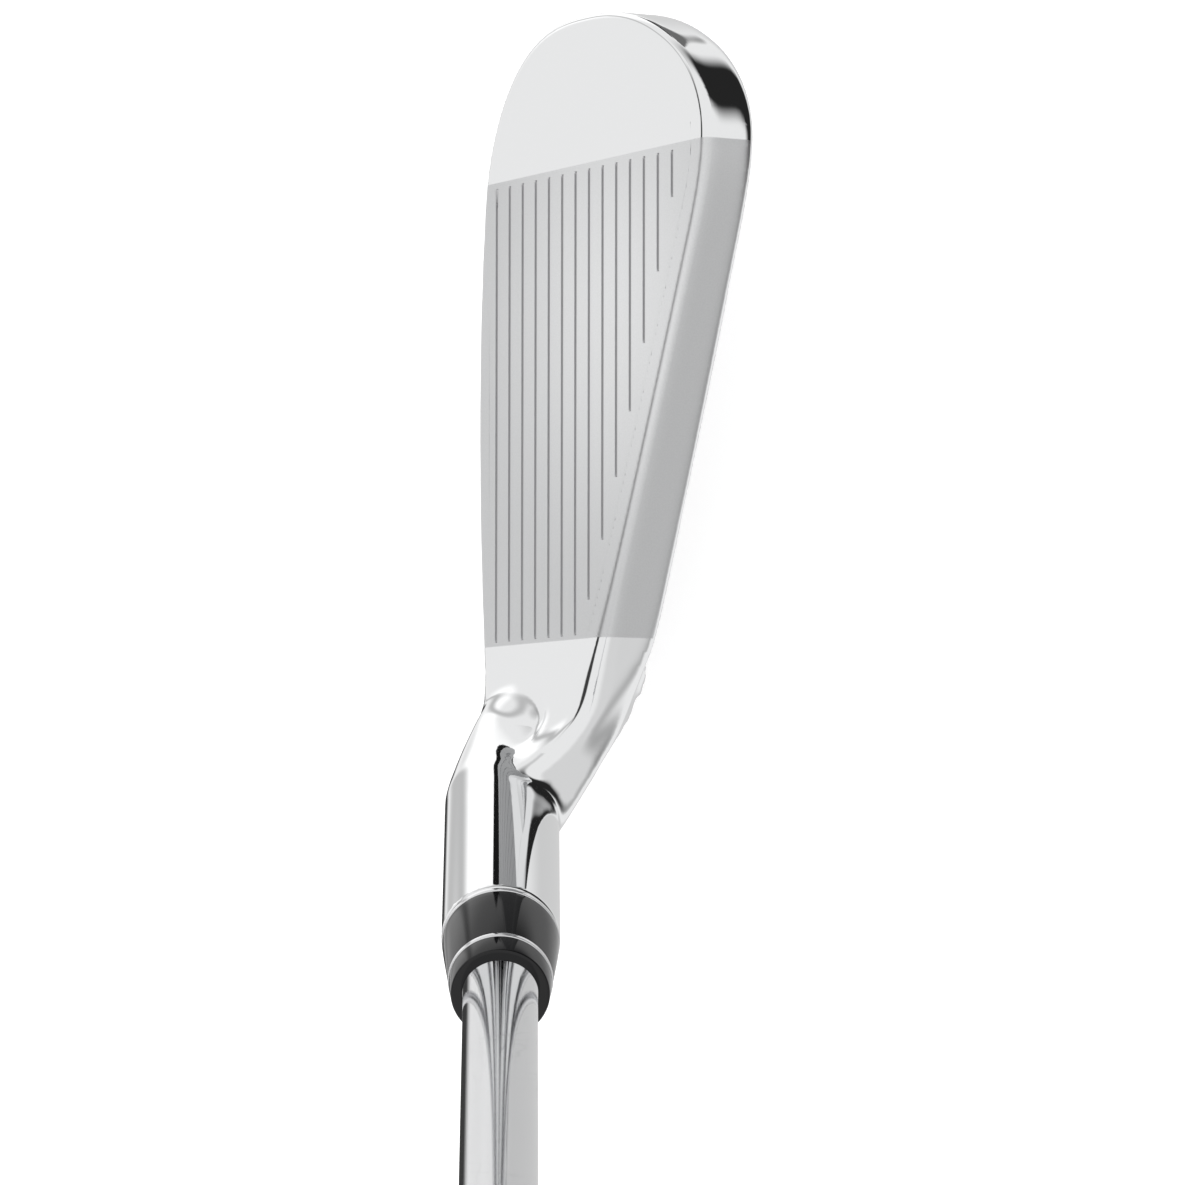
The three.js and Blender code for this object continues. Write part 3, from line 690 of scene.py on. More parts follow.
@dataclass(frozen=True)
class Finish:
    """What every finish has: a slot, a base colour, its gloss and the strength of its relief."""

    slot: Slot
    colour: Colour
    roughness: float
    metallic: float = 1.0
    relief: float = 0.05
    relief_scale: float = 3000.0
    relief_depth: float = 0.00002
    spread: float = 0.02
    rub: float = 0.3
    coat: float = 0.0
    mirror: float = 0.5
    worn: float = 0.88
    rub_gloss: float = 0.12

    def start(self) -> tuple[Graph, Material, bpy.types.Node, Output]:
        """A new material with its shader and the object coordinates."""
        material = bpy.data.materials.new(self.slot.value)
        material.use_nodes = True
        material.diffuse_color = rgba(self.colour)
        graph = Graph(material.node_tree)
        shader = material.node_tree.nodes["Principled BSDF"]
        place = graph.node("TexCoord").outputs["Object"]
        shader.inputs["Metallic"].default_value = self.metallic
        shader.inputs["Coat Weight"].default_value = self.coat
        shader.inputs["Specular IOR Level"].default_value = self.mirror
        return graph, material, shader, place

    def emboss(self, graph: Graph, shader: bpy.types.Node, height: Output) -> None:
        """Relief from a height, through the shader's normal."""
        bump = graph.node("Bump")
        bump.inputs["Strength"].default_value = self.relief
        bump.inputs["Distance"].default_value = self.relief_depth
        graph.link(height, bump.inputs["Height"])
        graph.link(bump.outputs[0], shader.inputs["Normal"])

    def make(self) -> Material:
        """The plain form: grain in the relief, drift and rub marks in the gloss and tone."""
        graph, material, shader, place = self.start()
        grain = group_node(graph, Grain, Vector=place, Fine_Scale=self.relief_scale)
        rub = group_node(graph, Rub, Vector=place, Amount=self.rub)
        gloss = graph.math("MULTIPLY_ADD", grain.outputs["Drift"], self.spread * 2, self.roughness)
        gloss = graph.math("MULTIPLY_ADD", rub.outputs["Marks"], self.rub_gloss, gloss, clamp=True)
        graph.link(gloss, shader.inputs["Roughness"])
        darker = tuple(c * self.worn for c in self.colour)
        tone = graph.math("MULTIPLY_ADD", grain.outputs["Drift"], 0.9, 0.5, clamp=True)
        graph.link(graph.blend(tone, rgba(darker), rgba(self.colour)), shader.inputs["Base Color"])
        self.emboss(graph, shader, grain.outputs["Height"])
        return material


@dataclass(frozen=True)
class BladedFinish(Finish):
    """Chrome of the head: polished, with a blasted satin panel between two straight edges.

    It reads two numbers of the mesh: "blast", how far the panel reaches, and "front", which
    is 1 on the face.
    """

    relief: float = 0.12
    relief_scale: float = 5200.0
    relief_depth: float = 0.00003
    rub: float = 0.35
    rub_gloss: float = 0.05
    satin: Colour = (0.66, 0.665, 0.67)
    satin_roughness: float = 0.37
    # Painted shade: a darker satin tone that only mirror rays see, so the satin shows darker in
    # the chrome.
    satin_painted_mirror_shade: Colour = (0.36, 0.365, 0.37)
    heel_edge: float = 11.4
    toe_edge: float = 71.65
    blur: float = 0.06
    # Painted highlight: round this spot of the face, the satin tone lightens towards the polished
    # colour.
    painted_highlight_at: Range = (54.0, 38.0)
    painted_highlight_reach: float = 0.042
    grooves: bool = False
    # Painted shade: the score lines are coloured darker to stand in for the shade inside them.
    groove: Colour = (0.47, 0.47, 0.48)
    groove_depths: Range = (0.03, 0.12)
    groove_gloss: float = 0.12

    def panel(self, graph: Graph, place: Output) -> Output:
        """Mask of the satin panel: between its straight edges, where the mesh is marked."""
        parts = graph.node("SeparateXYZ")
        graph.link(place, parts.inputs[0])
        along = graph.math("MULTIPLY_ADD", parts.outputs[0], 1 / MM, -REST[0])
        low, high, blur = self.heel_edge, self.toe_edge, self.blur
        heel_side = graph.span(along, low - blur, low + blur, 0.0, 1.0)
        toe_side = graph.span(along, high - blur, high + blur, 1.0, 0.0)
        marked = graph.node("Attribute", attribute_name="blast").outputs["Fac"]
        reach = graph.span(marked, 0.4, 0.6, 0.0, 1.0)
        return graph.math("MULTIPLY", graph.math("MULTIPLY", heel_side, toe_side), reach)

    def painted_highlight(self, graph: Graph, place: Output) -> Output:
        """Mask of the painted highlight: fades from 1 at a spot of the face to 0 at its reach."""
        gap = graph.node("VectorMath", operation="DISTANCE")
        graph.link(place, gap.inputs[0])
        centre = FACE.place(np.array([[*self.painted_highlight_at, 0.0]]))[0]
        gap.inputs[1].default_value = tuple((centre + REST) * MM)
        fade = graph.span(gap.outputs["Value"], 0.0, self.painted_highlight_reach, 1.0, 0.0, smooth=True)
        front = graph.node("Attribute", attribute_name="front").outputs["Fac"]
        return graph.math("MULTIPLY", fade, front)

    def trench(self, graph: Graph, place: Output) -> Output:
        """Mask of the score lines, for their painted shade and extra roughness: where the surface
        lies below the face's plane.
        """
        dot = graph.node("VectorMath", operation="DOT_PRODUCT")
        graph.link(place, dot.inputs[0])
        dot.inputs[1].default_value = tuple(np.array(FACE.third) / MM)
        lift = float(-np.dot(REST + np.array(FACE.origin), FACE.third))
        depth = graph.math("ADD", dot.outputs["Value"], lift)
        return graph.span(depth, *self.groove_depths, 0.0, 1.0)

    def make(self) -> Material:
        """Gloss, tone and relief, each mixed between the polished and the blasted surface."""
        graph, material, shader, place = self.start()
        satin = self.panel(graph, place)
        grain = group_node(
            graph, Grain, Vector=place, Fine_Scale=self.relief_scale, Slow_Scale=45.0)
        rub = group_node(graph, Rub, Vector=place, Amount=self.rub)
        drift = grain.outputs["Drift"]
        polished = graph.math("MULTIPLY_ADD", drift, 0.03, self.roughness)
        blasted = graph.math("MULTIPLY_ADD", drift, 0.06, self.satin_roughness)
        extra = graph.math("SUBTRACT", blasted, polished)
        gloss = graph.math("MULTIPLY_ADD", extra, satin, polished)
        gloss = graph.math("MULTIPLY_ADD", rub.outputs["Marks"], self.rub_gloss, gloss)
        tone = graph.blend(satin, rgba(self.colour), rgba(self.satin))
        # Painted highlight: the satin tone lightens towards the polished colour round a spot of
        # the face.
        painted_highlight = graph.math("MULTIPLY", self.painted_highlight(graph, place), satin)
        tone = graph.blend(painted_highlight, tone, rgba(self.colour))
        fine = graph.span(grain.outputs["Height"], 0.3, 0.7, 0.93, 1.05)
        scale = graph.node("Mix", data_type="RGBA", blend_type="MULTIPLY")
        scale.inputs["Factor"].default_value = 1.0
        graph.link(tone, scale.inputs[6])
        graph.link(graph.blend(graph.math("MULTIPLY", satin, 0.5), grey(1.0), fine),
                   scale.inputs[7])
        # Painted shade: mirror rays see the satin in a darker grey than the camera does.
        mirrored = graph.node("LightPath").outputs["Is Glossy Ray"]
        colour = graph.blend(graph.math("MULTIPLY", mirrored, satin), scale.outputs[2],
                             rgba(self.satin_painted_mirror_shade))
        if self.grooves:
            cut = self.trench(graph, place)
            # Painted shade in the score lines: their colour turns darker, and their gloss rougher.
            colour = graph.blend(cut, colour, rgba(self.groove))
            gloss = graph.math("MULTIPLY_ADD", cut, self.groove_gloss, gloss)
        graph.link(colour, shader.inputs["Base Color"])
        graph.link(gloss, shader.inputs["Roughness"])
        self.emboss(graph, shader, graph.math("MULTIPLY", grain.outputs["Height"], satin))
        return material


# ---- head ------------------------------------------------------------------------------------
OUTLINE = Curve(TOE_ARCS + HEEL_ARCS)


def slant(height: Array) -> Array:
    """Share of sole in the blade's wall: 1 along the sole, 0 from the middle of the toe up."""
    return 1 - smoothstep(height, 7.0, 31.0)


@dataclass
class Head:
    """Forged head: blade with its cavity, neck and hosel, as one skin."""

    step: float = 0.5
    low: tuple[float, float, float] = (-37.0, -3.0, -32.0)
    high: tuple[float, float, float] = (92.5, 64.0, 21.0)
    sole_tilt: float = math.radians(28)
    front_radius: float = 1.2
    neck_front_radius: float = 2.4
    front_spread: Range = (-3.0, 22.0)
    leading_radius: float = 1.6
    leading_shift: float = 2.3
    rear_radius: float = 0.7
    trailing_radius: float = 1.9
    topline_depth: float = 7.3
    heel_depth: float = 8.3
    topline_from: float = 10.0
    topline_run: float = 55.0
    sole_width: float = 18.6
    heel_sole_width: float = 14.0
    sole_spread: Range = (12.0, 40.0)
    camber: float = 0.66
    rim: float = 3.6
    sole_bar: float = 6.4
    draft: float = 1.2
    floor: float = 4.2
    cavity_heel: float = 10.5
    cavity_corner: float = 4.0
    cavity_fillet: float = 1.0
    cavity_edge: float = 0.8
    bevel_heel: Range = (3.4, 1.3)
    bevel_toe: Range = (0.95, 0.45)
    bevel_spread: Range = (-3.0, 12.0)
    bevel_lift: float = 12.0
    bevel_end: float = 0.35
    bevel_radius: float = 0.8
    seat_margins: Range = (2.7, 3.9)
    seat_spread: Range = (8.0, 12.0)
    seat_heel: float = 11.2
    seat_depth: float = 1.2
    hosel_radius: float = 7.25
    hosel_rim: float = 58.0
    rim_radius: float = 0.7
    bore_radius: float = 4.62
    bore_bottom: float = 26.0
    spine_top: float = 56.0
    spine_bend: float = 19.0
    spine_end: tuple[float, ...] = (-7.6, 14.6, -0.3, 8.8, 3.2, 5.6)
    narrow_from: float = 0.70
    narrow_run: float = 0.30
    narrow_power: float = 1.4
    neck_low: float = 3.0
    neck_high: float = 9.0
    neck_spread: Range = (6.0, 28.0)
    knuckle_centre: Range = (-6.3, 11.5)
    knuckle_radius: float = 12.9
    knuckle_rise: Range = (0.6, 0.03)
    knuckle_side: float = -3.5
    knuckle_edge: float = 5.0
    crescent: float = 2.0
    heel_radius: float = 2.4
    nose_fillet: float = 1.5
    heel_fillet: float = 5.0
    fillet_spread: Range = (8.0, 15.0)
    heel_start: tuple[float, float, float] = (0.2, -15.2, 20.0)
    heel_cut: tuple[float, float, float] = (-0.52, -0.854, 0.0)
    heel_bend: float = 14.0
    relax_rounds: int = 60
    normal_rounds: int = 4
    spine: Curve = field(init=False)

    def __post_init__(self) -> None:
        """Lays out the hosel's spine: straight down the shaft axis, then towards the blade."""
        slope = math.cos(LIE) / math.sin(LIE)
        a = (-slope * self.spine_top, self.spine_top)
        b = (-slope * self.spine_bend, self.spine_bend)
        third = (a[0] * 2 / 3 + b[0] / 3, a[1] * 2 / 3 + b[1] / 3)
        two = (a[0] / 3 + b[0] * 2 / 3, a[1] / 3 + b[1] * 2 / 3)
        self.spine = Curve(
            ((*a, *third, *two, *b), (*b, *self.spine_end)), closed=False, reach=40.0)

    def stem(self, coords: Array) -> Field:
        """Hosel and neck: the space within a radius of the spine.

        The radius is the hosel's down to the bend and shrinks towards the heel's end.
        """
        x, y, z = FACE.place(coords).T
        foot, dx, dz, _, _ = self.spine.foot(x, z)
        part = foot / (len(self.spine.points) - 1)
        narrow = np.clip((part - self.narrow_from) / self.narrow_run, 0, 1) ** self.narrow_power
        radius = mix(self.hosel_radius, self.heel_radius, narrow)
        gap = np.stack([dx, y, dz], axis=1)
        length = np.maximum(np.linalg.norm(gap, axis=1), 1e-6)
        return Field(length - radius, (gap / length[:, None]) @ FACE.matrix().T)

    def knuckle(self, coords: Array) -> Field:
        """Swelling of the face at the neck: a cone on the face with a bowed side.

        Its height is a share of the distance q inside its rim, plus a share of q squared.
        """
        u, v, d = coords.T
        du, dv = u - self.knuckle_centre[0], v - self.knuckle_centre[1]
        away = np.maximum(np.hypot(du, dv), 1e-3)
        inside = self.knuckle_radius - away
        rise, bow = self.knuckle_rise
        slope = rise + 2 * bow * np.maximum(inside, 0)
        height = rise * inside + bow * np.maximum(inside, 0) ** 2
        size = np.sqrt(1 + slope**2)
        normal = np.stack([slope * du / away, slope * dv / away, -np.ones_like(u)], axis=1)
        return Field((-d - height) / size, normal / size[:, None])

    def untilt(self, v: Array, d: Array) -> tuple[Array, Array]:
        """Height on the face from which the slanted wall through a point starts."""
        height = v - d * math.tan(self.sole_tilt) * slant(v)
        for _ in range(8):
            height = v - d * np.tan(self.sole_tilt * slant(height))
        return height, slant(height)

    def shell(self, coords: Array) -> dict[str, object]:
        """The blade's wall and back at points in the face's axes, with what they depend on.

        The wall stands on the outline and leans back by the tilt; the back lies square to
        the wall's run, a depth behind the leading corner.
        """
        u, v, d = coords.T
        height, share = self.untilt(v, d)
        tilt = self.sole_tilt * share
        q, nx, ny = OUTLINE.measure(u, height)
        q = q - self.leading_shift * share
        run = (v - height + ny * q) * np.sin(tilt) + d * np.cos(tilt)
        top_depth = mix(self.heel_depth, self.topline_depth,
                        np.clip((u - self.topline_from) / self.topline_run, 0, 1))
        sole = mix(self.heel_sole_width, self.sole_width, smoothstep(u, *self.sole_spread))
        depth = mix(top_depth, sole, share)
        edge = mix(self.neck_front_radius, self.front_radius, smoothstep(u, *self.front_spread))
        front = mix(edge, self.leading_radius, share)
        rear = mix(self.rear_radius, self.trailing_radius, share)
        part = np.clip((run - front) / (depth - rear - front), 0, 1)
        value = q / np.sqrt(1 + (ny * np.tan(tilt)) ** 2)
        value = value - self.camber * share * 4 * part * (1 - part)
        wall = Field(value, np.stack([nx, ny * np.cos(tilt), -ny * np.sin(tilt)], axis=1))
        zero = np.zeros_like(tilt)
        back = Field(run - depth, np.stack([zero, np.sin(tilt), np.cos(tilt)], axis=1))
        return dict(share=share, wall=wall, back=back, front=front, rear=rear, depth=depth)

    def front(self, coords: Array, stem: Field) -> Field:
        """Face's plane with the knuckle on it, drawn into the stem by a wide fillet."""
        neck = mix(self.neck_low, self.neck_high, smoothstep(coords[:, 1], *self.neck_spread))
        face = Field.plane(coords, (0, 0, 0), (0, 0, -1))
        side = Field.plane(coords, (self.knuckle_side, 0, 0), (-1, 0, 0))
        dome = self.knuckle(coords).meet(side, self.knuckle_edge)
        return face.join(dome, self.crescent).join(stem, neck)

    def bevel(self, coords: Array, wall: Field, back: Field, share: Array) -> Field:
        """Slope that takes off the topline's rear corner, wide at the heel, none at the sole.

        It is the plane that meets the wall a run before the corner and the back a drop
        before it.
        """
        spread = smoothstep(coords[:, 0], *self.bevel_spread)
        run = mix(self.bevel_heel[0], self.bevel_toe[0], spread)
        drop = mix(self.bevel_heel[1], self.bevel_toe[1], spread)
        size = np.hypot(run, drop)
        slope = (run * wall.value + drop * back.value + run * drop) / size
        slope = slope - self.bevel_lift * smoothstep(share, 0.0, self.bevel_end)
        tilt = (wall.normal * run[:, None] + back.normal * drop[:, None]) / size[:, None]
        return Field(slope, tilt)

    def cavity(self, coords: Array, wall: Field, share: Array, depth: Array) -> Field:
        """Hollow of the back, inside the rim and the sole bar, with drafted walls."""
        rim = mix(self.rim, self.sole_bar, share)
        rise = np.clip((coords[:, 2] - self.floor) / np.maximum(depth - self.floor, 1.0), 0, 1)
        inner = Field(rim + self.draft * (1 - rise) + wall.value, wall.normal)
        heel = Field.plane(coords, (self.cavity_heel, 0, 0), (-1, 0, 0))
        floor = Field.plane(coords, (0, 0, self.floor), (0, 0, -1))
        return inner.meet(heel, self.cavity_corner).meet(floor, self.cavity_fillet)

    def seat(self, coords: Array) -> Array:
        """Distance from the recess that the face plate lies in."""
        u, v, d = coords.T
        q, _, _ = OUTLINE.measure(u, v)
        margin = mix(*self.seat_margins, smoothstep(v, *self.seat_spread))
        return np.maximum(np.maximum(q + margin, self.seat_heel - u), d - self.seat_depth)

    def distance(self, coords: Array) -> Array:
        """Distance from the whole head at points in the face's axes."""
        p = self.shell(coords)
        share, wall = p["share"], p["wall"]
        stem = self.stem(coords)
        cut = np.array(self.heel_cut) @ FACE.matrix().T
        start = FACE.read(np.array(self.heel_start))
        back = p["back"].meet(Field.plane(coords, tuple(start), tuple(cut)), self.heel_bend)
        blade = self.front(coords, stem).meet(wall, p["front"]).meet(back, p["rear"])
        blade = blade.meet(self.bevel(coords, wall, back, share), self.bevel_radius)
        blade = blade.meet(~self.cavity(coords, wall, share, p["depth"]), self.cavity_edge)
        fillet = mix(self.heel_fillet, self.nose_fillet,
                     smoothstep(coords[:, 1], *self.fillet_spread))
        head = FACE.place(coords)
        shaft = SHAFT.read(head)
        rim_plane = Field(shaft[:, 2] - self.hosel_rim, np.broadcast_to(
            np.array(SHAFT.third) @ FACE.matrix().T, coords.shape))
        value = blade.join(stem, fillet).meet(rim_plane, self.rim_radius).value
        bore = np.maximum(np.hypot(shaft[:, 0], shaft[:, 1]) - self.bore_radius,
                          self.bore_bottom - shaft[:, 2])
        ground = -head[:, 2]
        return np.maximum(np.maximum(value, -bore), np.maximum(-self.seat(coords), ground))

    def softness(self, points: Array) -> Array:
        """How far the net is evened out: fully round the neck, partly at the rear, not at the
        ground."""
        head = FACE.place(points)
        along = SHAFT.read(head)[:, 2]
        neck = smoothstep(-points[:, 0], -11.0, -7.0) * smoothstep(-along, -42.0, -34.0)
        rear = smoothstep(points[:, 2], 0.4, 1.6) * smoothstep(points[:, 0], 2.0, 7.0)
        return np.maximum(neck, rear * 0.6) * smoothstep(head[:, 2], 0.3, 2.0)

    def build(self) -> Piece:
        """Carves the skin and marks where it is blasted: on the face and along the topline."""
        points, quads, normals = carve(
            self.distance, np.array(self.low), np.array(self.high), self.step)
        soft = self.softness(points)
        points = relax(points, quads, soft, self.relax_rounds)
        smooth = net_normals(points, quads, self.normal_rounds)
        smooth *= np.sign((smooth * normals).sum(axis=0).sum())
        normals = mix(normals, smooth, soft[:, None])
        normals /= np.linalg.norm(normals, axis=1)[:, None]
        mesh = make_mesh("head_body_skin", FACE.place(points), [quads])
        turned = normals @ FACE.matrix()
        mesh.normals_split_custom_set_from_vertices(turned.tolist())
        facing = (-normals[:, 2] - 0.5) * 3 + 0.5
        upward = (turned[:, 2] - 0.5) * 3 + 0.5
        short = (-0.75 - self.shell(points)["back"].value) * 1.2 + 0.5
        mark(mesh, "blast", np.clip(np.maximum(facing, np.minimum(upward, short)), 0, 1))
        mark(mesh, "front", np.clip(facing, 0, 1))
        return Piece("head_body_skin", mesh, Slot.HEAD_CHROME, ("head_body",))


@dataclass
class FacePlate:
    """Face insert with its score lines."""

    inset: float = 2.0
    high_inset: float = 3.3
    heel: float = 9.0
    thickness: float = 2.4
    proud: float = 0.004
    tuck: float = 0.02
    first: float = 7.2
    pitch: float = 3.46
    lines: int = 14
    width: float = 0.62
    depth: float = 0.4
    toe_end: float = 70.9
    heel_end: float = 11.9
    full: int = 7
    short_ends: tuple[float, float, float] = (16.25, 7.2, 0.155)
    inset_spread: Range = (8.0, 12.0)

    def heel_ends(self) -> Array:
        """Heel end of each line: the same for the long ones, then a parabola line by line."""
        n = np.arange(self.lines - self.full)
        first, linear, square = self.short_ends
        short = first + linear * n + square * n**2
        return np.concatenate([np.full(self.full, self.heel_end), short])

    def rows(self) -> tuple[Array, Array, Array]:
        """Heights of the grid's rows, their depth and their line's heel end.

        Across a line the depth follows a rounded trench: the square root of what is left of
        one after the square of the place across it.
        """
        across = np.array([-1.0, -0.92, -0.75, -0.4, 0.0, 0.4, 0.75, 0.92, 1.0])
        deep = np.sqrt(1 - across**2)
        low = (OUTLINE.points - OUTLINE.normals * self.inset)[:, 1].min()
        high = (OUTLINE.points - OUTLINE.normals * self.high_inset)[:, 1].max()
        heights, depths, ends = [], [], []
        for n, end in enumerate(self.heel_ends()):
            middle = self.first + self.pitch * n
            heights.append(middle + across * self.width / 2)
            depths.append(deep * self.depth)
            ends.append(np.full(len(across), end))
            if n + 1 < self.lines:
                gap = np.linspace(0, 1, 5)[1:-1]
                heights.append(middle + self.width / 2 + gap * (self.pitch - self.width))
                depths.append(np.zeros(3))
                ends.append(mix(end, self.heel_ends()[n + 1], gap))
        top = heights[-1][-1]
        crown = top + (high - 1e-3 - top) * np.sin(np.linspace(0, np.pi / 2, 24))[1:]
        foot = np.linspace(low + 0.35, heights[0][0], 6)[:-1]
        heights = np.concatenate([foot, *heights, crown])
        depths = np.concatenate([np.zeros(len(foot)), *depths, np.zeros(len(crown))])
        ends = np.concatenate([np.full(len(foot), self.heel_end), *ends,
                               np.full(len(crown), ends[-1][-1])])
        return heights, depths, ends

    def build(self) -> Piece:
        """Front grid, row by row from heel to toe, closed by a wall and a flat back.

        Each row runs from the outline's heel side to its toe side in three stretches: up to
        the line's heel end, along the line and past its toe end, with the line's depth
        easing in and out over half its width.
        """
        heights, depths, ends = self.rows()
        low_side = OUTLINE.spans(self.inset, heights)
        high_side = OUTLINE.spans(self.high_inset, np.maximum(heights, self.inset_spread[0]))
        share = smoothstep(heights, *self.inset_spread)
        left, right = (mix(a, b, share) for a, b in zip(low_side, high_side))
        left = np.maximum(left, self.heel)
        ease = np.array([0.0, 0.08, 0.3, 0.6, 1.0]) * self.width
        rounded = np.sin(np.linspace(0, np.pi / 2, 5))
        columns, shares = [], []
        heel_end = np.clip(ends, left + 0.5, right - 3.0)
        toe_end = np.clip(np.full(len(heights), self.toe_end), heel_end + 2.0, right - 0.5)
        for part in np.linspace(0, 1, 8)[:-1]:
            columns.append(mix(left, heel_end, part))
            shares.append(0.0)
        for gap, share in zip(ease, rounded):
            columns.append(heel_end + gap)
            shares.append(share)
        for part in np.linspace(0, 1, 30)[1:-1]:
            columns.append(mix(heel_end + ease[-1], toe_end - ease[-1], part))
            shares.append(1.0)
        for gap, share in zip(ease[::-1], rounded[::-1]):
            columns.append(toe_end - gap)
            shares.append(share)
        for part in np.linspace(0, 1, 8)[1:]:
            columns.append(mix(toe_end, right, part))
            shares.append(0.0)
        u = np.stack(columns, axis=1)
        v = np.repeat(heights[:, None], u.shape[1], axis=1)
        lift = depths[:, None] * np.array(shares)[None, :] - self.proud
        rows, cols = u.shape
        lift[[0, -1], :] = self.tuck
        lift[:, [0, -1]] = self.tuck
        front = np.stack([u, v, lift], axis=-1)
        back = np.stack([u, v, np.full_like(u, self.thickness)], axis=-1)
        points = np.concatenate([front.reshape(-1, 3), back.reshape(-1, 3)])
        index = np.arange(rows * cols).reshape(rows, cols)
        loop = np.concatenate([index[0], index[1:, -1], index[-1, -2::-1], index[-2:0:-1, 0]])
        ahead = np.roll(loop, -1)
        side = np.stack([loop, loop + rows * cols, ahead + rows * cols, ahead], axis=1)
        faces = grid_faces(rows, cols)
        mesh = make_mesh("face_plate_skin", FACE.place(points),
                         [faces[:, ::-1], faces + rows * cols, side])
        for name in ("blast", "front"):
            mark(mesh, name, np.ones(len(mesh.vertices)))
        sharpen(mesh, 50.0)
        return Piece("face_plate_skin", mesh, Slot.FACE_SATIN, ("face_plate",))


# ---- turned pieces ---------------------------------------------------------------------------
def bead(profile: list[tuple[float, float, float]], steps: int = 5) -> Array:
    """Profile with its corners rounded.

    Each inner corner with a radius is replaced by an arc: the quadratic curve from the point
    that far before the corner, with the corner as its control, to the point that far after.

    Args:
        profile: Radius, distance along the axis and rounding of each corner.
        steps: Points on each rounding.

    Returns:
        Rows of radius and distance along the axis.
    """
    points = np.array([(r, a) for r, a, _ in profile])
    rows = [points[:1]]
    for n in range(1, len(points) - 1):
        radius = profile[n][2]
        before, after = points[n - 1] - points[n], points[n + 1] - points[n]
        if radius <= 0:
            rows.append(points[n : n + 1])
            continue
        lead = min(radius, 0.49 * np.linalg.norm(before), 0.49 * np.linalg.norm(after))
        start = points[n] + before / np.linalg.norm(before) * lead
        end = points[n] + after / np.linalg.norm(after) * lead
        t = np.linspace(0, 1, steps)[:, None]
        rows.append(start * (1 - t) ** 2 + points[n] * 2 * t * (1 - t) + end * t**2)
    rows.append(points[-1:])
    return np.concatenate(rows)


def polar(radius: Array, angle: Array, along: Array) -> Array:
    """Points r cos a, r sin a, l in the shaft's axes."""
    return np.stack(np.broadcast_arrays(
        radius * np.cos(angle), radius * np.sin(angle), along), axis=-1)


def turn(name: str, profile: Array, around: int = 96) -> bpy.types.Mesh:
    """Surface of revolution round the shaft axis.

    A point at angle a of a profile row (r, l) lies at r cos a, r sin a, l in the shaft's
    axes. A profile that starts and ends at the same row closes into a ring.

    Args:
        name: The mesh's name.
        profile: Rows of radius and distance along the axis.
        around: Points round the axis.

    Returns:
        The mesh.
    """
    ring = np.allclose(profile[0], profile[-1])
    rows = profile[:-1] if ring else profile
    angle = np.arange(around) * 2 * np.pi / around
    coords = polar(rows[:, :1], angle, rows[:, 1:])
    count = len(rows)
    faces = grid_faces(count, around, wrap=True)
    if ring:
        last = (count - 1) * around + np.arange(around)
        first = np.arange(around)
        faces = np.concatenate([faces, np.stack(
            [last, np.roll(last, -1), np.roll(first, -1), first], axis=1)])
    mesh = make_mesh(name, SHAFT.place(coords.reshape(-1, 3)), [faces])
    return weld(mesh)


def weld(mesh: bpy.types.Mesh) -> bpy.types.Mesh:
    """Merges doubled points, turns faces outwards and keeps the mesh."""
    work = bmesh.new()
    work.from_mesh(mesh)
    bmesh.ops.remove_doubles(work, verts=work.verts, dist=1e-7)
    bmesh.ops.recalc_face_normals(work, faces=work.faces)
    work.to_mesh(mesh)
    work.free()
    mesh.polygons.foreach_set("use_smooth", np.ones(len(mesh.polygons), dtype=bool))
    return mesh


@dataclass
class Ferrule:
    """Ferrule over the hosel's rim: a turned body and two bright rings in its grooves.

    The body stays out of the chrome's mirror image.
    """

    rim: float = 58.0
    bore: float = 4.56
    root: float = 7.18
    bulge: float = 7.05
    bulge_at: float = 2.5
    end: float = 5.95
    length: float = 14.2
    ring_width: float = 0.7
    ring_depth: float = 0.7
    ring_play: float = 0.01
    ring_stand: float = 0.06
    lower_at: float = 10.95

    def radius(self, along: float) -> float:
        """Outer radius at a distance above the rim."""
        return float(np.interp(along, [0, self.bulge_at, self.length],
                               [self.root, self.bulge, self.end]))

    def body(self) -> Piece:
        """The black body with a groove for each ring."""
        at = self.rim
        low = self.lower_at - self.ring_width
        profile = bead([
            (self.bore, at, 0.0),
            (self.radius(0) - self.ring_depth, at, 0.0),
            (self.radius(0) - self.ring_depth, at + self.ring_width, 0.05),
            (self.radius(self.ring_width), at + self.ring_width, 0.1),
            (self.bulge, at + self.bulge_at, 1.4),
            (self.radius(low), at + low, 0.1),
            (self.radius(low) - self.ring_depth, at + low, 0.05),
            (self.radius(low) - self.ring_depth, at + self.lower_at, 0.05),
            (self.radius(self.lower_at), at + self.lower_at, 0.1),
            (self.end, at + self.length, 0.35),
            (self.bore, at + self.length, 0.15),
            (self.bore, at, 0.0),
        ])
        mesh = turn("ferrule_body", profile)
        sharpen(mesh, 40.0)
        return Piece("ferrule_body", mesh, Slot.FERRULE_BLACK, ("ferrule",), mirrored=False)

    def ring(self, name: str, node: str, start: float) -> Piece:
        """A bright ring that starts at a distance above the rim and stands a little proud."""
        low, high = start + self.ring_play, start + self.ring_width - self.ring_play
        inner = self.radius(start) - self.ring_depth + 2 * self.ring_play
        at = self.rim
        profile = bead([
            (inner, at + low, 0.0),
            (self.radius(low) + self.ring_stand, at + low, 0.12),
            (self.radius(high) + self.ring_stand, at + high, 0.12),
            (inner, at + high, 0.0),
            (inner, at + low, 0.0),
        ])
        return Piece(name, turn(name, profile), Slot.RING_SILVER, (node,))

    def build(self) -> list[Piece]:
        """The body and its two rings."""
        lower = self.lower_at - self.ring_width
        return [
            self.body(),
            self.ring("ring_upper", "ferrule_ring_upper", 0.0),
            self.ring("ring_lower", "ferrule_ring_lower", lower),
        ]


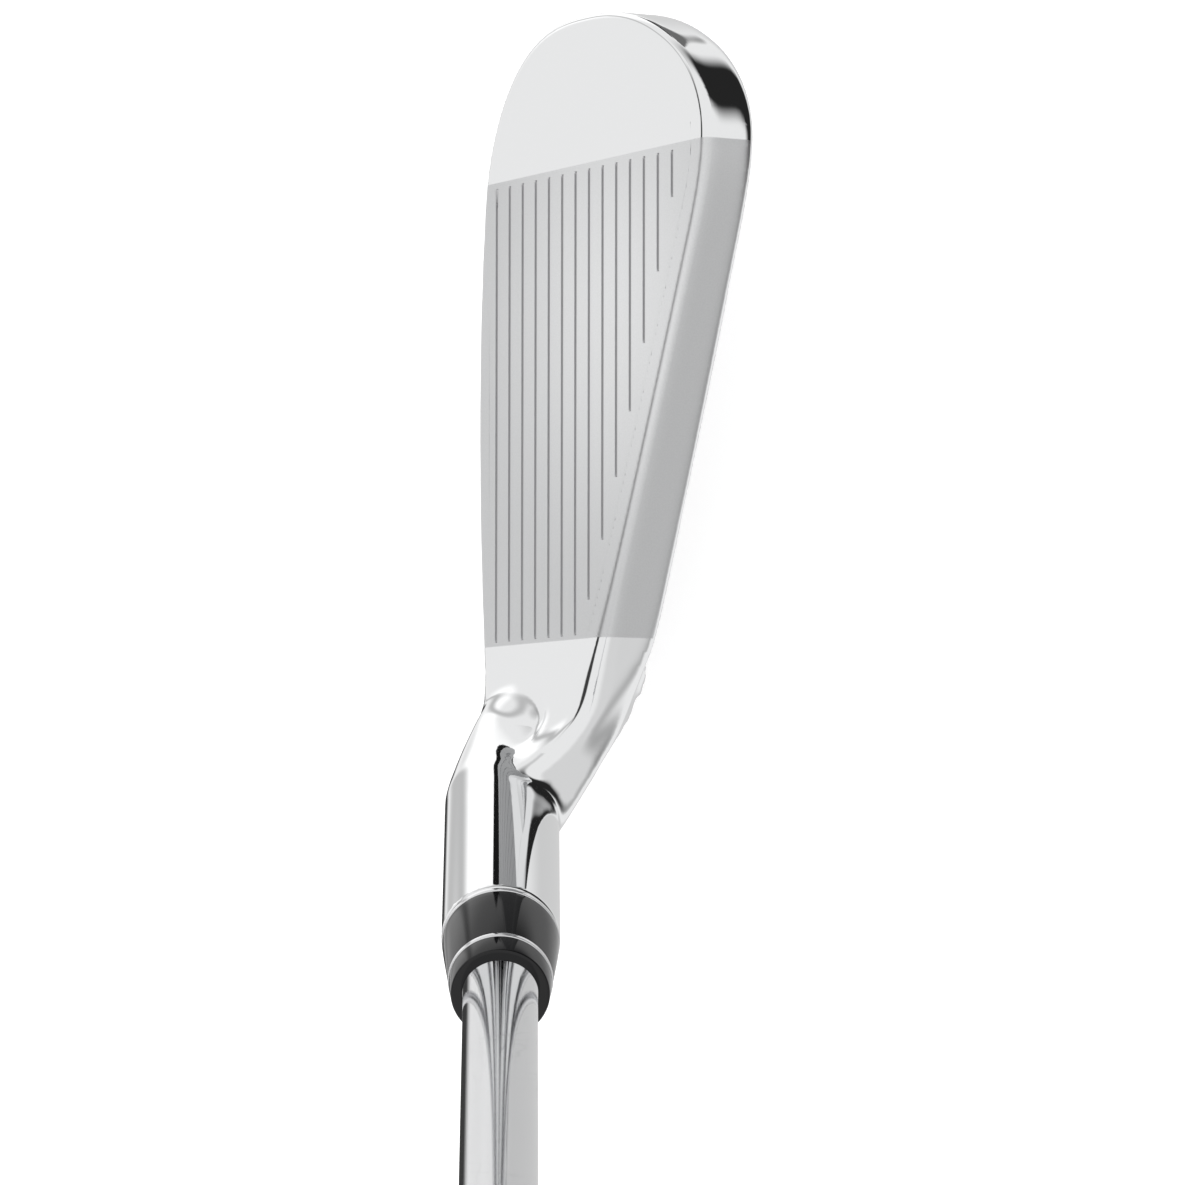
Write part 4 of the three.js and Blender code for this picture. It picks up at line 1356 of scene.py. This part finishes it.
@dataclass
class Shaft:
    """Stepped steel shaft, a tube from the bore's foot to the cap."""

    foot: float = 26.0
    tip: float = 9.02
    butt: float = 15.24
    first_step: float = 331.0
    pitch: float = 31.75
    steps: int = 11
    ramp: float = 1.0
    end: float = 936.0
    tip_wall: float = 0.6
    butt_wall: float = 0.4

    def build(self) -> Piece:
        """Outer profile step by step, and the bore that follows it inside."""
        radii = np.linspace(self.tip, self.butt, self.steps + 2) / 2
        outer = [(radii[0], self.foot + 0.3, 0.0)]
        for n in range(self.steps + 1):
            at = self.first_step + self.pitch * n
            outer += [(radii[n], at, 0.6), (radii[n + 1], at + self.ramp, 0.6)]
        outer.append((radii[-1], self.end, 0.0))
        rows = bead(outer)
        walls = np.interp(rows[:, 1], [self.foot, self.end], [self.tip_wall, self.butt_wall])
        inner = np.stack([rows[:, 0] - walls, rows[:, 1]], axis=1)[::-1]
        lip = np.array([[radii[0] - 0.3, self.foot]])
        profile = np.concatenate([lip, rows, inner, lip])
        mesh = turn("shaft_tube", profile)
        sharpen(mesh, 60.0)
        return Piece("shaft_tube", mesh, Slot.SHAFT_CHROME, ("shaft",))


@dataclass
class Grip:
    """Moulded rubber grip and its cap."""

    mouth: float = 668.0
    bore: float = 8.09
    end: float = 936.0
    cap_end: float = 940.0
    groove: float = 0.28
    starts: int = 12
    twist: float = 7.0
    level: float = 0.80
    lip: float = 0.8
    around: int = 144
    rows: int = 560

    def radius(self, along: Array) -> Array:
        """Outer radius along the grip: a lip, then a steady taper up to the butt."""
        at = np.array([0.0, 3.0, 6.0, 134.0, 246.0, 268.0]) + self.mouth
        size = np.array([9.29, 9.29, 9.59, 10.89, 12.49, 13.69])
        return np.interp(along, at, size)

    def pattern(self, along: Array, angle: Array) -> Array:
        """Depth of the moulded pattern.

        Two families of helical grooves cross in a net of diamonds. Each groove is the part
        of a cosine wave above a level. Plain bands at the mouth, the middle and the butt,
        and a plain strip either side of the net, are left smooth.
        """
        spot = along - self.mouth
        wave = 2 * np.pi / self.twist
        left = np.cos(self.starts * angle + wave * spot)
        right = np.cos(self.starts * angle - wave * spot)
        net = np.clip((np.maximum(left, right) - self.level) / 0.2, 0, 1)
        band = (smoothstep(spot, 14, 17) * (1 - smoothstep(spot, 118, 121))
                + smoothstep(spot, 135, 138) * (1 - smoothstep(spot, 244, 247)))
        strip = smoothstep(np.abs(np.sin(angle)), 0.10, 0.16)
        rings = np.zeros_like(along)
        for place in (8.0, 11.0, 124.0, 128.0, 132.0, 251.0, 254.5, 258.0):
            rings = np.maximum(rings, 1 - smoothstep(np.abs(spot - place), 0.25, 0.75))
        return self.groove * np.maximum(net * band * strip, rings)

    def sleeve(self) -> Piece:
        """The grip: pattern grid outside, plain bore inside."""
        along = np.linspace(self.mouth, self.end, self.rows)
        angle = np.arange(self.around) * 2 * np.pi / self.around
        a, l = np.meshgrid(angle, along)
        edge = np.minimum(l - self.mouth, self.end - l)
        short = np.maximum(self.lip - edge, 0)
        ease = self.lip - np.sqrt(np.maximum(self.lip**2 - short**2, 0))
        outer = polar(self.radius(l) - self.pattern(l, a) - ease, a, l)
        inner = polar(self.bore, angle, np.array([[self.end], [self.mouth]]))
        coords = np.concatenate([outer, inner, outer[:1]])
        mesh = weld(make_mesh("grip_sleeve", SHAFT.place(coords.reshape(-1, 3)),
                              [grid_faces(len(coords), self.around, wrap=True)]))
        sharpen(mesh, 50.0)
        return Piece("grip_sleeve", mesh, Slot.GRIP_RUBBER, ("grip",))

    def cap(self) -> Piece:
        """The butt cap with its vent and one shallow ring."""
        top, base, r = self.cap_end, self.end, 13.69
        profile = bead([
            (1.5, base, 0.0), (r, base, 0.2), (r, top, 2.0), (r - 4.2, top, 0.3),
            (r - 4.8, top - 0.35, 0.3), (r - 5.4, top, 0.3), (1.9, top, 0.3),
            (1.5, top - 0.5, 0.2), (1.5, base, 0.0),
        ])
        mesh = turn("grip_end_cap", profile, self.around)
        sharpen(mesh, 50.0)
        return Piece("grip_end_cap", mesh, Slot.CAP_RUBBER, ("grip_cap",))


# ---- cavity pieces ---------------------------------------------------------------------------
def pillow(name: str, ring: Array, low: float, high: float, edge: float,
           turned: Axes = FACE) -> bpy.types.Mesh:
    """Flat plate with rounded edges over a plane ring.

    Rows run up the wall, over a quarter round in which the ring moves in by the radius
    times one minus the cosine, and in towards the middle, each row a smaller copy of the
    ring. The back is closed the same way.

    Args:
        name: The mesh's name.
        ring: Outline in the plane, anticlockwise.
        low: Depth of the seat.
        high: Depth of the shown face.
        edge: Radius of the shown edge.
        turned: Axes of the plane and of the depth.

    Returns:
        The mesh.
    """
    ahead = np.roll(ring, -1, axis=0) - np.roll(ring, 1, axis=0)
    ahead /= np.linalg.norm(ahead, axis=1)[:, None]
    normal = np.stack([ahead[:, 1], -ahead[:, 0]], axis=1)
    middle = ring.mean(axis=0)
    sign = 1.0 if high > low else -1.0
    rows = []
    for share in (0.0, 0.5, 0.9, 1.0):
        rows.append((middle + (ring - middle) * share, low))
    for angle in np.linspace(0, np.pi / 2, 6):
        inset = edge * (1 - math.cos(angle))
        rows.append((ring - normal * inset, high - sign * edge * (1 - math.sin(angle))))
    core = ring - normal * edge
    for share in (0.97, 0.85, 0.6, 0.3, 0.0):
        rows.append((middle + (core - middle) * share, high))
    coords = np.concatenate([np.column_stack([flat, np.full(len(flat), at)]) for flat, at in rows])
    mesh = weld(make_mesh(
        name, turned.place(coords), [grid_faces(len(rows), len(ring), wrap=True)]))
    sharpen(mesh, 40.0)
    return mesh


@dataclass
class Cavity:
    """Badge, its inlay and tape, and the tungsten slug in the sole bar."""

    tape_low: float = 4.2
    tape_high: float = 4.8
    badge_high: float = 6.2
    inset: float = 9.0
    heel: float = 13.0
    low: float = 15.0
    inlay_from: float = 26.0
    inlay_to: float = 68.0
    inlay_height: float = 24.5
    inlay_half: float = 5.0
    inlay_low: float = 5.5
    inlay_high: float = 6.5
    slug_centre: Range = (54.0, -8.0)
    slug_half: Range = (12.0, 3.5)
    slug_low: float = 2.4
    slug_high: float = 6.0
    slug_power: float = 0.14

    def ring(self, extra: float) -> Array:
        """The badge's outline: the blade's, drawn in, held above the sole bar and the heel."""
        ring = OUTLINE.points - OUTLINE.normals * (self.inset + extra)
        ring = ring[::12]
        apart = ring[:, None, :] - OUTLINE.points[None, ::6, :]
        gap = np.sqrt((apart**2).sum(axis=2)).min(axis=1)
        ring = ring[gap > (self.inset + extra) * 0.985]
        ring[:, 0] = np.maximum(ring[:, 0], self.heel + extra)
        ring[:, 1] = np.maximum(ring[:, 1], self.low + extra)
        step = np.linalg.norm(ring - np.roll(ring, 1, axis=0), axis=1)
        ring = ring[step > 0.2]
        for _ in range(2):
            ring = (ring * 2 + np.roll(ring, 1, axis=0) + np.roll(ring, -1, axis=0)) / 4
        return ring

    def bar(self, extra: float) -> Array:
        """Stadium outline of the inlay."""
        half = self.inlay_half - extra
        turn_up = np.linspace(-np.pi / 2, np.pi / 2, 24)
        toe = np.column_stack([self.inlay_to + half * np.cos(turn_up),
                               self.inlay_height + half * np.sin(turn_up)])
        heel = np.column_stack([self.inlay_from - half * np.cos(turn_up),
                                self.inlay_height - half * np.sin(turn_up)])
        return np.concatenate([toe, heel])

    def block(self) -> Array:
        """Outline of the slug: a superellipse, nearly a rectangle with round corners."""
        t = np.linspace(0, 2 * np.pi, 96, endpoint=False)
        waves = zip(self.slug_centre, self.slug_half, (np.cos(t), np.sin(t)))
        return np.column_stack([
            centre + half * np.sign(wave) * np.abs(wave) ** self.slug_power
            for centre, half, wave in waves])

    def build(self) -> list[Piece]:
        """The four pieces, each on its seat."""
        level = Axes((0.0, 0.0, 0.0), (1.0, 0.0, 0.0), (0.0, 1.0, 0.0), (0.0, 0.0, 1.0))
        badge = pillow("badge_plate", self.ring(0.0), self.tape_high, self.badge_high, 0.35)
        tape = pillow("badge_foam", self.ring(0.4), self.tape_low, self.tape_high, 0.05)
        inlay = pillow("badge_bar", self.bar(0.05), self.inlay_low, self.inlay_high, 0.25)
        slug = pillow("sole_slug", self.block(), self.slug_low, self.slug_high, 0.3, level)
        return [
            Piece("badge_plate", badge, Slot.BADGE_ALLOY, ("badge",)),
            Piece("badge_foam", tape, Slot.FOAM_TAPE, ("badge_tape",)),
            Piece("badge_bar", inlay, Slot.BADGE_BRIGHT, ("badge_inlay",)),
            Piece("sole_slug", slug, Slot.TUNGSTEN, ("sole_weight",)),
        ]


# ---- studio ----------------------------------------------------------------------------------
@dataclass(frozen=True)
class Card:
    """A soft panel of the painted room, in degrees: it covers the directions within its reach
    of its middle, less those within its hole."""

    azimuth: float
    elevation: float
    stretch: float
    hole: float
    reach: float
    softness: float
    brightness: float


@dataclass(frozen=True)
class Lamp:
    """A square soft lamp, aimed at the origin."""

    name: str
    at: tuple[float, float, float]
    size: float
    watts: float


@dataclass
class Studio:
    """Camera, pale floor, lamps, and a world that is white to the camera and a room to metal."""

    eye: tuple[float, float, float] = (-0.070897, 0.002514, 0.820006)
    forward: tuple[float, float, float] = (0.06050959, -0.01055308, -0.99811183)
    up: tuple[float, float, float] = (0.99816699, 0.00176224, 0.0604943)
    lens: float = 191.46
    floor_radii: tuple[float, ...] = (0.0, 0.2, 0.6, 2.0, 6.0)
    floor_sides: int = 96
    floor_drop: float = 0.0002
    floor_tones: Range = (0.80, 0.84)
    floor_glow: float = 0.35
    room: float = 0.92
    cards: tuple[Card, ...] = (
        Card(28.0, -46.0, 1.6, 0.0, 9.0, 0.20, 1.25),
        Card(-60.0, -66.0, 1.0, 0.0, 16.0, 0.30, 0.66),
        Card(-130.0, 18.0, 1.2, 0.0, 14.0, 0.40, 0.74),
        Card(86.0, -31.0, 1.0, 35.5, 36.0, 0.08, 0.56),
        Card(-5.0, -38.0, 0.60, 0.0, 13.0, 0.04, 0.16),
        Card(5.5, -38.0, 0.20, 0.0, 13.0, 0.03, 0.01),
        Card(-53.0, -2.0, 2.2, 0.0, 18.0, 0.22, 0.02),
        Card(95.0, 6.0, 3.4, 0.0, 7.0, 0.12, 0.05),
        Card(75.0, -81.0, 1.0, 0.0, 4.0, 0.12, 0.05),
    )
    lamps: tuple[Lamp, ...] = (
        Lamp("key", (0.4, 0.9, 1.4), 0.9, 14.0),
        Lamp("fill", (0.2, -1.1, 1.1), 1.0, 8.0),
    )

    def camera(self) -> None:
        """Camera straight above the head, looking down on the topline."""
        data = bpy.data.cameras.new("camera")
        data.lens = self.lens
        data.sensor_width = 36.0
        data.clip_start = 0.01
        data.clip_end = 50.0
        obj = bpy.data.objects.new("camera", data)
        back = -Vector(self.forward)
        up = Vector(self.up)
        right = up.cross(back).normalized()
        up = back.cross(right).normalized()
        turned = Matrix((right, up, back)).transposed().to_4x4()
        turned.translation = Vector(self.eye)
        obj.matrix_world = turned
        bpy.context.collection.objects.link(obj)
        bpy.context.scene.camera = obj

    def floor(self) -> None:
        """A wide pale disc; its glow shows to the camera, and metal does not see it."""
        sides = self.floor_sides
        t = np.linspace(0, 2 * np.pi, sides, endpoint=False)
        coords = polar(np.array(self.floor_radii)[:, None], t, np.array(-self.floor_drop))
        mesh = bpy.data.meshes.new("floor")
        mesh.from_pydata(coords.reshape(-1, 3).tolist(), [],
                         grid_faces(len(coords), sides, wrap=True).tolist())
        weld(mesh)
        obj = bpy.data.objects.new("floor", mesh)
        bpy.context.collection.objects.link(obj)
        material = bpy.data.materials.new("floor_paper")
        material.use_nodes = True
        g = Graph(material.node_tree)
        shader = material.node_tree.nodes["Principled BSDF"]
        shader.inputs["Roughness"].default_value = 0.9
        place = g.node("TexCoord").outputs["Object"]
        grain = group_node(g, Grain, Vector=place, Fine_Scale=900.0, Slow_Scale=3.0)
        tone = g.span(grain.outputs["Drift"], -0.5, 0.5, *self.floor_tones)
        g.link(tone, shader.inputs["Base Color"])
        shader.inputs["Emission Color"].default_value = grey(1.0)
        g.link(g.math("MULTIPLY", self.seen(g), self.floor_glow),
               shader.inputs["Emission Strength"])
        mesh.materials.append(material)
        obj.visible_glossy = False

    @staticmethod
    def seen(g: Graph) -> Output:
        """1 for a ray from the camera or through glass, else 0."""
        path = g.node("LightPath")
        return g.math(
            "MAXIMUM", path.outputs["Is Camera Ray"], path.outputs["Is Transmission Ray"])

    @staticmethod
    def mask(g: Graph, where: Output, card: Card) -> Output:
        """Mask of a card: its middle is turned on to the first axis, and the sine of the angle
        from there is compared with that of its reach."""
        aim = g.node("Mapping", vector_type="POINT")
        g.link(where, aim.inputs["Vector"])
        aim.inputs["Rotation"].default_value = (0.0, 0.0, -math.radians(card.azimuth))
        level = g.node("Mapping", vector_type="POINT")
        g.link(aim.outputs[0], level.inputs["Vector"])
        level.inputs["Rotation"].default_value = (0.0, math.radians(card.elevation), 0.0)
        level.inputs["Scale"].default_value = (1.0, 1.0 / card.stretch, 1.0)
        parts = g.node("SeparateXYZ")
        g.link(level.outputs[0], parts.inputs[0])
        side = g.math("MULTIPLY", parts.outputs[1], parts.outputs[1])
        rise = g.math("MULTIPLY", parts.outputs[2], parts.outputs[2])
        size = g.math("SQRT", g.math("ADD", side, rise))
        front = g.math("GREATER_THAN", parts.outputs[0], 0.0)
        edge = math.sin(math.radians(card.reach))
        mask = g.math(
            "MULTIPLY", g.span(size, edge, edge + card.softness, 1.0, 0.0, smooth=True), front)
        if card.hole > 0:
            inner = math.sin(math.radians(card.hole))
            ring = g.span(size, inner - card.softness, inner, 0.0, 1.0, smooth=True)
            mask = g.math("MULTIPLY", mask, ring)
        return mask

    def sky(self) -> None:
        """World: white to the camera and through glass, the room with its cards to the rest."""
        world = bpy.data.worlds.new("studio")
        bpy.context.scene.world = world
        world.use_nodes = True
        tree = world.node_tree
        tree.nodes.clear()
        g = Graph(tree)
        out = g.node("OutputWorld")
        where = g.node("TexCoord").outputs["Generated"]
        tone: object = grey(self.room)
        for card in self.cards:
            tone = g.blend(self.mask(g, where, card), tone, grey(card.brightness))
        back = g.node("Background")
        g.link(g.blend(self.seen(g), tone, grey(1.0)), back.inputs["Color"])
        g.link(back.outputs[0], out.inputs[0])

    def light(self, lamp: Lamp) -> None:
        """Hangs a lamp; metal does not see it."""
        data = bpy.data.lights.new(lamp.name, "AREA")
        data.size = lamp.size
        data.energy = lamp.watts
        obj = bpy.data.objects.new(lamp.name, data)
        obj.location = lamp.at
        obj.rotation_euler = (-Vector(lamp.at)).to_track_quat("-Z", "Y").to_euler()
        obj.visible_glossy = False
        bpy.context.collection.objects.link(obj)

    def build(self) -> None:
        """Sets up the whole studio."""
        self.camera()
        self.floor()
        self.sky()
        for lamp in self.lamps:
            self.light(lamp)
        bpy.context.scene.view_settings.view_transform = "Standard"


def make_finishes() -> dict[Slot, Material]:
    """Every finish by its slot."""
    chrome = (0.86, 0.865, 0.87)
    looks = (
        Finish(Slot.TUNGSTEN, (0.32, 0.32, 0.34), 0.38, relief=0.2, relief_scale=2500),
        Finish(Slot.URETHANE, (0.05, 0.05, 0.055), 0.6, metallic=0.0, relief=0.3),
        Finish(Slot.FOAM_TAPE, (0.03, 0.03, 0.03), 0.9, metallic=0.0, relief=0.6,
               relief_depth=0.0001, rub=0.0),
        Finish(Slot.BADGE_ALLOY, (0.42, 0.43, 0.45), 0.32, relief=0.15, spread=0.04),
        Finish(Slot.BADGE_BRIGHT, (0.78, 0.78, 0.8), 0.12),
        Finish(Slot.FERRULE_BLACK, (0.004, 0.004, 0.0045), 0.08, metallic=0.0, relief=0.02,
               coat=0.1, rub=0.4, mirror=0.3),
        Finish(Slot.RING_SILVER, (0.82, 0.82, 0.83), 0.12),
        Finish(Slot.SHAFT_CHROME, (0.80, 0.805, 0.815), 0.05, relief=0.0, spread=0.015, rub=0.25),
        Finish(Slot.PLUG_BRASS, (0.6, 0.45, 0.2), 0.35),
        Finish(Slot.GRIP_TAPE, (0.55, 0.5, 0.4), 0.8, metallic=0.0, relief=0.4),
        Finish(Slot.GRIP_RUBBER, (0.022, 0.022, 0.023), 0.62, metallic=0.0, relief=0.5,
               relief_scale=2200, relief_depth=0.00012, spread=0.08, rub=0.1),
        Finish(Slot.CAP_RUBBER, (0.025, 0.025, 0.026), 0.55, metallic=0.0, relief=0.4,
               relief_scale=2200, relief_depth=0.0001, spread=0.06, rub=0.1),
        BladedFinish(Slot.HEAD_CHROME, chrome, 0.045),
        BladedFinish(Slot.FACE_SATIN, chrome, 0.045, grooves=True),
    )
    return {look.slot: look.make() for look in looks}


def dress(node: str, finish: Material) -> None:
    """A CAD node that stays takes a better material in its slots."""
    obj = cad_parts[node]
    for place in obj.material_slots:
        place.material = finish
    LOG.info("%s: kept, finished as %s", node, finish.name)


def main() -> None:
    """Builds the club and its studio."""
    logging.basicConfig(level=logging.INFO, format="%(message)s")
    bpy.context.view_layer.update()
    finishes = make_finishes()
    grip = Grip()
    pieces = [
        Head().build(),
        FacePlate().build(),
        *Cavity().build(),
        *Ferrule().build(),
        Shaft().build(),
        grip.sleeve(),
        grip.cap(),
    ]
    for piece in pieces:
        piece.install(finishes)
    dress("damping_pad", finishes[Slot.URETHANE])
    dress("tip_plug", finishes[Slot.PLUG_BRASS])
    dress("grip_tape", finishes[Slot.GRIP_TAPE])
    Studio().build()


if __name__ == "__main__":
    main()
